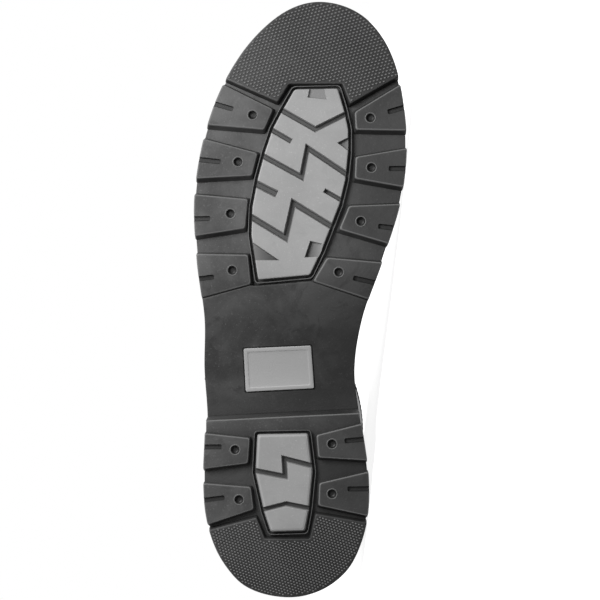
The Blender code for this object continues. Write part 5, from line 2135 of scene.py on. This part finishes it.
class Band:
    """Band of the upper's surface along a line of the side view, measured from its first end."""

    SAMPLES = 80
    PASSES = 4
    STEP = 0.005
    SQUARE_RUN = 25.0
    SQUARE_KEEP = 0.35
    WIDEST = 13.0

    def __init__(self, form: UpperForm, point: Point2, up: Point2,
                 ends: Callable[["Band", Array], tuple[Array, Array]]) -> None:
        """Measure the band.

        Args:
            form: Surface of the upper.
            point: Point (y, z) of the middle line.
            up: Direction up across it.
            ends: Places round the boot where the band starts and stops, by distances across it.
        """
        self.form = form
        self.point = point
        self.up = up
        self.widths = np.linspace(-self.WIDEST, self.WIDEST, 27)
        self.first, self.last = ends(self, self.widths)
        shares = np.linspace(0.0, 1.0, self.SAMPLES + 1)
        marks = self.place_at(shares, np.zeros(len(shares)), np.zeros(len(shares)))
        self.run = np.concatenate(([0.0], np.cumsum(np.linalg.norm(np.diff(marks, axis=0), axis=1))))
        self.length = float(self.run[-1])
        self.shares = shares

    def level(self, a: Array, across: Array) -> Array:
        """Section number where the surface lies the stated distance across the band.

        Args:
            a: Places round the boot.
            across: Distances from the middle line.

        Returns:
            The section numbers.
        """

        def rise(t: Array) -> Array:
            """Distance still to go up to the place.

            Args:
                t: Section numbers.

            Returns:
                The distances, negative below the place.
            """
            spot = self.form.point(a, t)
            y, z = spot[..., 1] - self.point[0], spot[..., 2] - self.point[1]
            return y * self.up[0] + z * self.up[1] - across

        return bisected(rise, np.zeros(np.shape(a)), np.full(np.shape(a), self.form.top()))

    def place_at(self, share: Array, across: Array, lift: Array) -> Array:
        """Point at a share of the band's way round, across it and off the surface.

        Args:
            share: Shares of the way from the first end.
            across: Distances from the middle line.
            lift: Distances off the surface.

        Returns:
            Rows of x, y and z.
        """
        first = np.interp(across, self.widths, self.first)
        last = np.interp(across, self.widths, self.last)
        a = first + (last - first) * share
        return self.form.lifted(a, self.level(a, across), lift)

    def place(self, distance: Array, across: Array, lift: Array) -> Array:
        """Point at a distance along the band, across it and off the surface.

        Args:
            distance: Millimetres from the first end.
            across: Millimetres from the middle line.
            lift: Millimetres off the surface.

        Returns:
            Rows of x, y and z.
        """
        share = np.interp(distance, self.run, self.shares)
        none = np.zeros(len(share))
        middle = self.place_at(share, none, none)
        along = self.place_at(share + self.STEP, none, none) - self.place_at(share - self.STEP, none, none)
        along /= np.linalg.norm(along, axis=1, keepdims=True)
        square = share.copy()
        for _ in range(self.PASSES):
            here = self.place_at(square, across, none)
            ahead = self.place_at(square + self.STEP, across, none)
            rate = np.einsum("ij,ij->i", ahead - here, along) / self.STEP
            square = square - np.einsum("ij,ij->i", here - middle, along) / rate
            square = np.clip(square, share * self.SQUARE_KEEP, 1 - (1 - share) * self.SQUARE_KEEP)
        from_end = np.maximum(np.minimum(distance, self.length - distance), 0.0)
        share = share + (square - share) * np.minimum(from_end / self.SQUARE_RUN, 1.0)
        return self.place_at(share, across, lift)


class StrapPlace(Enum):
    """The boot's two buckled straps."""

    INSTEP = "instep"
    SHAFT = "shaft"


@dataclass
class BuckledStrap:
    """Strap with its tab, buckle frame, roller and prong."""

    form: UpperForm
    shop: Workshop
    where: StrapPlace
    tip: float
    hinge: float
    holes: tuple[float, ...]
    half: float = 12.0
    tab_half: float = 11.0
    thick: float = 2.2
    fit: float = 0.65
    tab_fit: float = 0.85
    frame_length: float = 21.0
    frame_half: float = 15.4
    corner: float = 4.0
    wire: float = 1.6
    roller: float = 2.9
    bore: float = 1.95
    prong: float = 1.1
    over_tab: float = 3.6
    over_hinge: float = 5.8
    hinge_lift: float = 3.0
    roller_lift: float = 7.1
    hole_radius: float = 1.7
    instep_top: Point2 = (157.0, 119.0)
    instep_foot: Point2 = (106.0, 42.0)
    search: float = 0.12
    shaft_height: float = 262.0
    shaft_span: tuple[float, float] = (0.49, 0.12)
    tip_runs: tuple[float, ...] = (0.0, 0.8, 2.2, 4.0, 6.5, 10.0)
    tip_shares: tuple[float, ...] = (0.36, 0.55, 0.70, 0.82, 0.93, 1.0)
    prong_line: tuple[tuple[float, float, float], ...] = (
        (0.0, -1.5, 3.4), (0.0, 4.0, 3.6), (0.55, 0.0, 1.6), (1.0, 0.0, 0.0), (1.0, 4.5, -1.2),
    )

    def __post_init__(self) -> None:
        """Measure the band and set the buckle's axes."""
        self.base = 0.0 if self.where is StrapPlace.INSTEP else -self.form.shaft_step
        self.band = self.instep_band() if self.where is StrapPlace.INSTEP else self.shaft_band()
        middle = self.hinge + self.frame_length / 2
        self.hinge_point, self.roller_point, right, left, high, low = self.spots((
            (self.hinge, 0.0, self.hinge_lift), (self.hinge + self.frame_length, 0.0, self.roller_lift),
            (middle, self.half, 0.0), (middle, -self.half, 0.0), (middle, 0.0, 1.0), (middle, 0.0, 0.0),
        ))
        along = self.roller_point - self.hinge_point
        self.reach = float(np.linalg.norm(along))
        self.along = along / self.reach
        across = right - left - self.along * ((right - left) @ self.along)
        self.across = across / np.linalg.norm(across)
        out = np.cross(self.across, self.along)
        self.out = out if out @ (high - low) > 0 else -out

    def spots(self, rows: Sequence[tuple[float, float, float]]) -> Array:
        """Points of the band at distances along, across and off it."""
        distance, across, lift = np.array(rows, float).T
        return self.band.place(distance, across, self.base + lift)

    def instep_band(self) -> Band:
        """From the outer side of the welt, over the instep, to the inner side of the welt.

        Returns:
            The band.
        """
        down = np.subtract(self.instep_foot, self.instep_top)
        down = down / np.linalg.norm(down)

        def ends(band: Band, across: Array) -> tuple[Array, Array]:
            """Places where the band meets the welt on both sides.

            Args:
                band: The band.
                across: Distances from its middle line.

            Returns:
                The first and last places.
            """
            low, high = np.full(len(across), self.search), np.full(len(across), 0.5)
            first = bisected(lambda a: band.level(a, across) - self.form.foot, low, high)
            last = bisected(lambda a: band.level(1 - a, across) - self.form.foot, low, high)
            return first, 1 - last

        return Band(self.form, self.instep_top, (down[1], -down[0]), ends)

    def shaft_band(self) -> Band:
        """Along the outer side of the shaft, from its front to its back.

        Returns:
            The band.
        """
        front, rear = self.shaft_span
        return Band(self.form, (0.0, self.shaft_height), (0.0, 1.0),
                    lambda band, across: (np.full(len(across), front), np.full(len(across), rear)))

    def strap_low(self, distance: Array) -> Array:
        """Underside of the strap along it: on its tab, over the hinge bar, on the upper.

        Args:
            distance: Distances from the band's first end.

        Returns:
            The lifts.
        """
        roller = self.hinge + self.frame_length
        marks = [self.tip, self.hinge - 7.0, self.hinge - 2.5, self.hinge + 2.5, roller - 5.0, roller]
        lifts = [self.over_tab, self.over_tab, self.over_hinge, self.over_hinge, self.fit, self.fit]
        return self.base + np.interp(distance, marks, lifts)

    def strap_place(self, distance: Array, share: Array, lift: Array) -> Array:
        """Point of the strap at a distance and a share across it, narrowed at its tip."""
        narrow = np.interp(distance - self.tip, self.tip_runs, self.tip_shares)
        return self.band.place(distance, share * self.half * narrow, lift)

    def tab_place(self, distance: Array, share: Array, lift: Array) -> Array:
        """Point of the tab at a distance and a share across it."""
        return self.band.place(distance, share * self.tab_half, lift)

    def leather(self, finishes: Finishes, seamstress: Seamstress) -> None:
        """Build strap, tab and their stitches.

        Args:
            finishes: Finishes of the boot.
            seamstress: Who sews the rows.
        """
        label = self.where.value
        along = eased(self.tip, self.band.length, 110, 1.2)
        across = eased(-1.0, 1.0, 12, 0.10)
        bm = bmesh.new()
        panel(bm, self.strap_place, along, across, self.strap_low(along), self.thick)
        holes = bmesh.new()
        lows = self.strap_low(np.array(self.holes)) - self.base
        ends = self.spots([(distance, 0.0, low + lift) for distance, low in zip(self.holes, lows)
                           for lift in (-0.5, self.thick + 0.8)])
        for end in ends.reshape(-1, 2, 3):
            tube(holes, end, np.full(2, self.hole_radius), self.across, 18, False)
        whole = self.shop.cut(bm, holes)
        self.shop.release(label + "_leather_strap", whole, [finishes.leather], Slot.LEATHER,
                          [label + "_strap"], Crisp.ROUND)
        end = self.hinge - self.wire - self.fit / 2
        along = eased(0.0, end, 30, 1.0)
        bm = bmesh.new()
        panel(bm, self.tab_place, along, across, np.full(len(along), self.base + self.tab_fit), self.thick)
        self.shop.release(label + "_leather_tab", bm, [finishes.leather], Slot.LEATHER,
                          [label + "_tab"], Crisp.ROUND)
        distance = np.linspace(self.tip + 5.0, self.band.length - 2.0, 150)
        lift = self.strap_low(distance) + self.thick + 0.08
        lines = [self.strap_place(distance, np.full(len(distance), side), lift) for side in (-0.80, 0.80)]
        seamstress.sew(label + "_strap_stitches", lines, finishes.thread, Slot.LEATHER, 3.0, 0.75)

    def steel(self, finishes: Finishes) -> None:
        """Build the buckle frame, its roller and its prong.

        Args:
            finishes: Finishes of the boot.
        """
        label = self.where.value
        centre = (self.hinge_point + self.roller_point) / 2
        points = []
        for sign_along, sign_across, first in ((1, 1, 0), (-1, 1, 90), (-1, -1, 180), (1, -1, 270)):
            hub = centre + self.along * sign_along * (self.reach / 2 - self.corner)
            hub = hub + self.across * sign_across * (self.frame_half - self.corner)
            for turn in np.radians(np.linspace(first, first + 90, 9)):
                spoke = self.along * math.cos(turn) + self.across * math.sin(turn)
                points.append(hub + self.corner * spoke)
        bm = bmesh.new()
        tube(bm, np.array(points), np.full(len(points), self.wire), self.out, 16, True)
        self.shop.release(label + "_buckle_frame", bm, [finishes.steel], Slot.STEEL,
                          [label + "_buckle"], Crisp.ROUND)
        half = self.frame_half - self.corner - 0.3
        rings = []
        turns = np.linspace(0.0, 2 * np.pi, 32, endpoint=False)
        for end, radius in ((-1.0, self.bore), (-1.0, self.roller - 0.4), (-0.985, self.roller - 0.1),
                            (-0.96, self.roller), (0.96, self.roller), (0.985, self.roller - 0.1),
                            (1.0, self.roller - 0.4), (1.0, self.bore)):
            ring = np.cos(turns)[:, None] * self.along + np.sin(turns)[:, None] * self.out
            rings.append(self.roller_point + self.across * end * half + radius * ring)
        bm = bmesh.new()
        loft(bm, rings, True)
        self.shop.release(label + "_buckle_roller", bm, [finishes.steel], Slot.STEEL,
                          [label + "_roller"], Crisp.ROLLER)
        rest = self.roller + 0.3 + self.prong
        marks = np.array([
            self.hinge_point + self.along * (share * self.reach + run) + self.out * (rest + rise)
            for share, run, rise in self.prong_line
        ])
        knots = np.concatenate(([0.0], np.cumsum(np.linalg.norm(np.diff(marks, axis=0), axis=1))))
        at = np.linspace(0.0, knots[-1], 40)
        path = np.stack([smooth_curve(knots, marks[:, k], at) for k in range(3)], axis=1)
        radii = self.prong * np.interp(at / knots[-1], (0.0, 0.02, 0.06, 0.8, 0.95, 0.99, 1.0),
                                       (0.45, 0.8, 1.0, 1.0, 0.88, 0.6, 0.3))
        bm = bmesh.new()
        tube(bm, path, radii, self.out, 14, False)
        self.shop.release(label + "_buckle_prong", bm, [finishes.steel], Slot.STEEL,
                          [label + "_prong"], Crisp.ROUND)


# Studio


@dataclass
class Studio:
    """Pale floor, soft light and the camera square to the tread."""

    pose: Pose
    aim: tuple[float, float, float] = (-7.3, 155.0, 0.0)
    distance: float = 1000.0
    half_frame: float = 156.3
    sensor: float = 36.0
    floor_half: float = 4.0
    floor_flat: float = 0.9
    floor_swell: float = 0.05
    floor_drop: float = 0.0004
    floor_finish: Paper = Paper("studio_paper", 0.93, 0.87)
    sky: tuple[float, float] = (0.05, 0.48)
    fill: float = 0.7
    key_power: float = 4.7
    key_size: float = 0.34
    key_place: tuple[float, float, float] = (310.0, 385.0, -470.0)

    def floor(self) -> None:
        """Wide floor with a low swell at its far edges, whose glow does not light the boot."""
        bm = bmesh.new()
        bmesh.ops.create_grid(bm, x_segments=24, y_segments=24, size=self.floor_half)
        for vert in bm.verts:
            away = max(vert.co.xy.length - self.floor_half * self.floor_flat, 0.0)
            vert.co.z = self.floor_swell * away * away - self.floor_drop
        mesh = bpy.data.meshes.new("studio_floor")
        bm.to_mesh(mesh)
        bm.free()
        mesh.shade_smooth()
        mesh.materials.append(self.floor_finish.make())
        made = bpy.data.objects.new("studio_floor", mesh)
        bpy.context.scene.collection.objects.link(made)
        made.visible_diffuse = False
        made.visible_glossy = False

    def light(self) -> None:
        """White surroundings, brighter toward key and shaft, and one soft key from the toe's outer side."""
        spot = self.pose.matrix @ Vector(self.key_place)
        aim = self.pose.matrix @ Vector(self.aim)
        way = (spot - aim).normalized()
        back = self.pose.turn @ Vector((0.0, 0.0, 1.0))
        world = bpy.data.worlds.new("studio_air")
        world.use_nodes = True
        kit = NodeKit(world.node_tree)
        direction = kit.node("ShaderNodeTexCoord", {}, {})
        toward = kit.node("ShaderNodeVectorMath", {"operation": "DOT_PRODUCT"}, {0: direction, 1: way}, 1)
        behind = kit.node("ShaderNodeVectorMath", {"operation": "DOT_PRODUCT"}, {0: direction, 1: back}, 1)
        low, high = self.sky
        glow = toward.ramp(-0.6, 1.0) * (high - low) + behind.ramp(0.0, 1.0) * self.fill + low
        seen = kit.node("ShaderNodeLightPath", {}, {})
        kit.feed(kit.nodes["Background"], {"Color": grey(1.0), "Strength": seen + (1.0 - seen) * glow})
        bpy.context.scene.world = world
        lamp = bpy.data.lights.new("studio_key", "AREA")
        lamp.shape = "DISK"
        lamp.size = self.key_size
        lamp.energy = self.key_power
        made = bpy.data.objects.new("studio_key", lamp)
        bpy.context.scene.collection.objects.link(made)
        made.location = spot
        made.rotation_euler = way.to_track_quat("Z", "Y").to_euler()

    def camera(self) -> None:
        """Camera square to the tread, toe up."""
        eye = bpy.data.cameras.new("studio_camera")
        eye.sensor_width = self.sensor
        eye.lens = self.sensor / 2 * self.distance / self.half_frame
        eye.clip_start = 0.01
        made = bpy.data.objects.new("studio_camera", eye)
        bpy.context.scene.collection.objects.link(made)
        turn = self.pose.turn @ Matrix(((-1, 0, 0), (0, 1, 0), (0, 0, -1)))
        spot = self.pose.matrix @ Vector((self.aim[0], self.aim[1], self.aim[2] - self.distance))
        made.matrix_world = Matrix.Translation(spot) @ turn.to_4x4()
        bpy.context.scene.camera = made

    def make(self) -> None:
        """Set up the studio."""
        self.floor()
        self.light()
        self.camera()
        bpy.context.scene.view_settings.view_transform = "Standard"
        bpy.context.scene.view_settings.look = "None"


# Tables of the pale inserts


FOREFOOT_CORNERS = (
    (-4.5, 265.0), (1.5, 254.5), (7.0, 244.0), (11.0, 232.0), (14.5, 219.0), (17.5, 203.5), (18.0, 189.0),
    (14.5, 165.5), (-12.5, 168.0), (-18.5, 180.5), (-28.0, 205.0), (-31.0, 217.5), (-32.5, 232.0),
    (-32.5, 244.0), (-30.5, 253.5), (-27.0, 265.5),
)
FOREFOOT_GROOVES = (
    Groove(3.0, 3.0, 3.0, ((1.7, 253.7), (-15.3, 244.0), (-30.8, 251.7))),
    Groove(2.8, 3.0, 0.0, ((6.8, 243.3), (-2.8, 237.7))),
    Groove(3.0, 3.0, 3.0, ((11.4, 229.8), (-8.3, 219.0), (-11.3, 234.2), (-31.6, 220.6))),
    Groove(3.9, 3.0, 0.0, ((14.4, 215.0), (4.8, 210.2))),
    Groove(2.4, 0.0, 3.0, ((-19.9, 212.2), (-28.2, 207.4))),
    Groove(3.4, 3.0, 3.0, ((16.4, 197.2), (0.1, 187.3), (-4.0, 205.5), (-23.4, 193.6))),
)
FOREFOOT_POCKETS = (
    Pocket(((-26.5, 237.0), (-34.5, 241.0), (-34.5, 231.0)), (3.0, 1.8, 1.8)),
    Pocket(((18.5, 186.0), (3.0, 175.5), (18.0, 175.5)), (1.6, 3.0, 1.6)),
    Pocket(((-12.5, 186.0), (-19.0, 184.5), (-18.5, 177.5), (-9.5, 177.0)), (2.6, 1.5, 1.6, 3.0)),
    Pocket(((-12.5, 267.0), (-20.0, 267.0), (-21.5, 259.5), (-11.0, 260.5)), (1.5, 1.5, 1.5, 1.5)),
)
HEEL_CORNERS = (
    (15.0, 85.0), (-11.5, 85.5), (-14.0, 65.5), (-12.0, 45.0), (-10.0, 34.5), (8.0, 34.0), (11.5, 44.5),
    (16.0, 65.0),
)
HEEL_GROOVES = (
    Groove(3.0, 3.0, 3.0, ((14.7, 65.7), (0.3, 62.9), (0.8, 72.2), (-12.2, 68.9))),
    Groove(2.8, 3.0, 3.0, ((11.5, 45.7), (-0.2, 48.7), (-11.8, 46.4))),
)


# The whole boot


def main() -> None:
    """Build the boot's pieces in order and set up the studio."""
    logging.basicConfig(level=logging.INFO, format="%(relativeCreated)d %(name)s %(message)s")
    pose = Pose(frame["record"])
    shop = Workshop(pose)
    finishes = Finishes()
    seamstress = Seamstress(shop)
    sole = SoleForm()
    upper = UpperForm(sole)
    tread = Tread(sole, shop)
    studio = Studio(pose)
    studio.make()
    plate = ArchPlate(tread)
    forefoot = Insert(tread, "forefoot_tread_insert", "forefoot_insert", FOREFOOT_CORNERS, FOREFOOT_GROOVES,
                      FOREFOOT_POCKETS, True, 0.7)
    heel_insert = Insert(tread, "heel_tread_insert", "heel_insert", HEEL_CORNERS, HEEL_GROOVES,
                         (), False, 1.6)
    outsole = Outsole(tread)
    heel = HeelBlock(tread)
    outsole.make(finishes, plate, forefoot)
    heel.make(finishes, heel_insert)
    forefoot.make(finishes)
    heel_insert.make(finishes)
    plate.make(finishes)
    bump = RepeatTree("knurl_bump", Layout.POINTS)
    Knurl(tread, bump, 2.0, 1.62, 1.76, 1.08, (-0.7, 1.0)).cover(
        "toe_knurl", tread.pad_polygon(outsole.pad_edge, Tip.TOE), 16.0, Tip.TOE, finishes.rubber)
    Knurl(tread, bump, 1.70, 1.34, 1.66, 1.10, (-0.9, 0.85)).cover(
        "heel_knurl", tread.pad_polygon(heel.pad_edge, Tip.HEEL), -18.0, Tip.HEEL, finishes.rubber)
    Welt(sole, shop).make(finishes, seamstress)
    Insole(sole, shop).make(finishes)
    shell = Upper(upper, shop)
    shell.make(finishes)
    shell.seams(finishes, seamstress)
    Overlays(upper, shop).make(finishes, seamstress)
    for strap in (BuckledStrap(upper, shop, StrapPlace.INSTEP, 18.0, 44.0, (24.5, 34.0, 76.0, 86.0, 96.0)),
                  BuckledStrap(upper, shop, StrapPlace.SHAFT, 10.0, 36.0, (16.5, 26.0, 68.0, 78.0, 88.0))):
        strap.leather(finishes, seamstress)
        strap.steel(finishes)


if __name__ == "__main__":
    main()
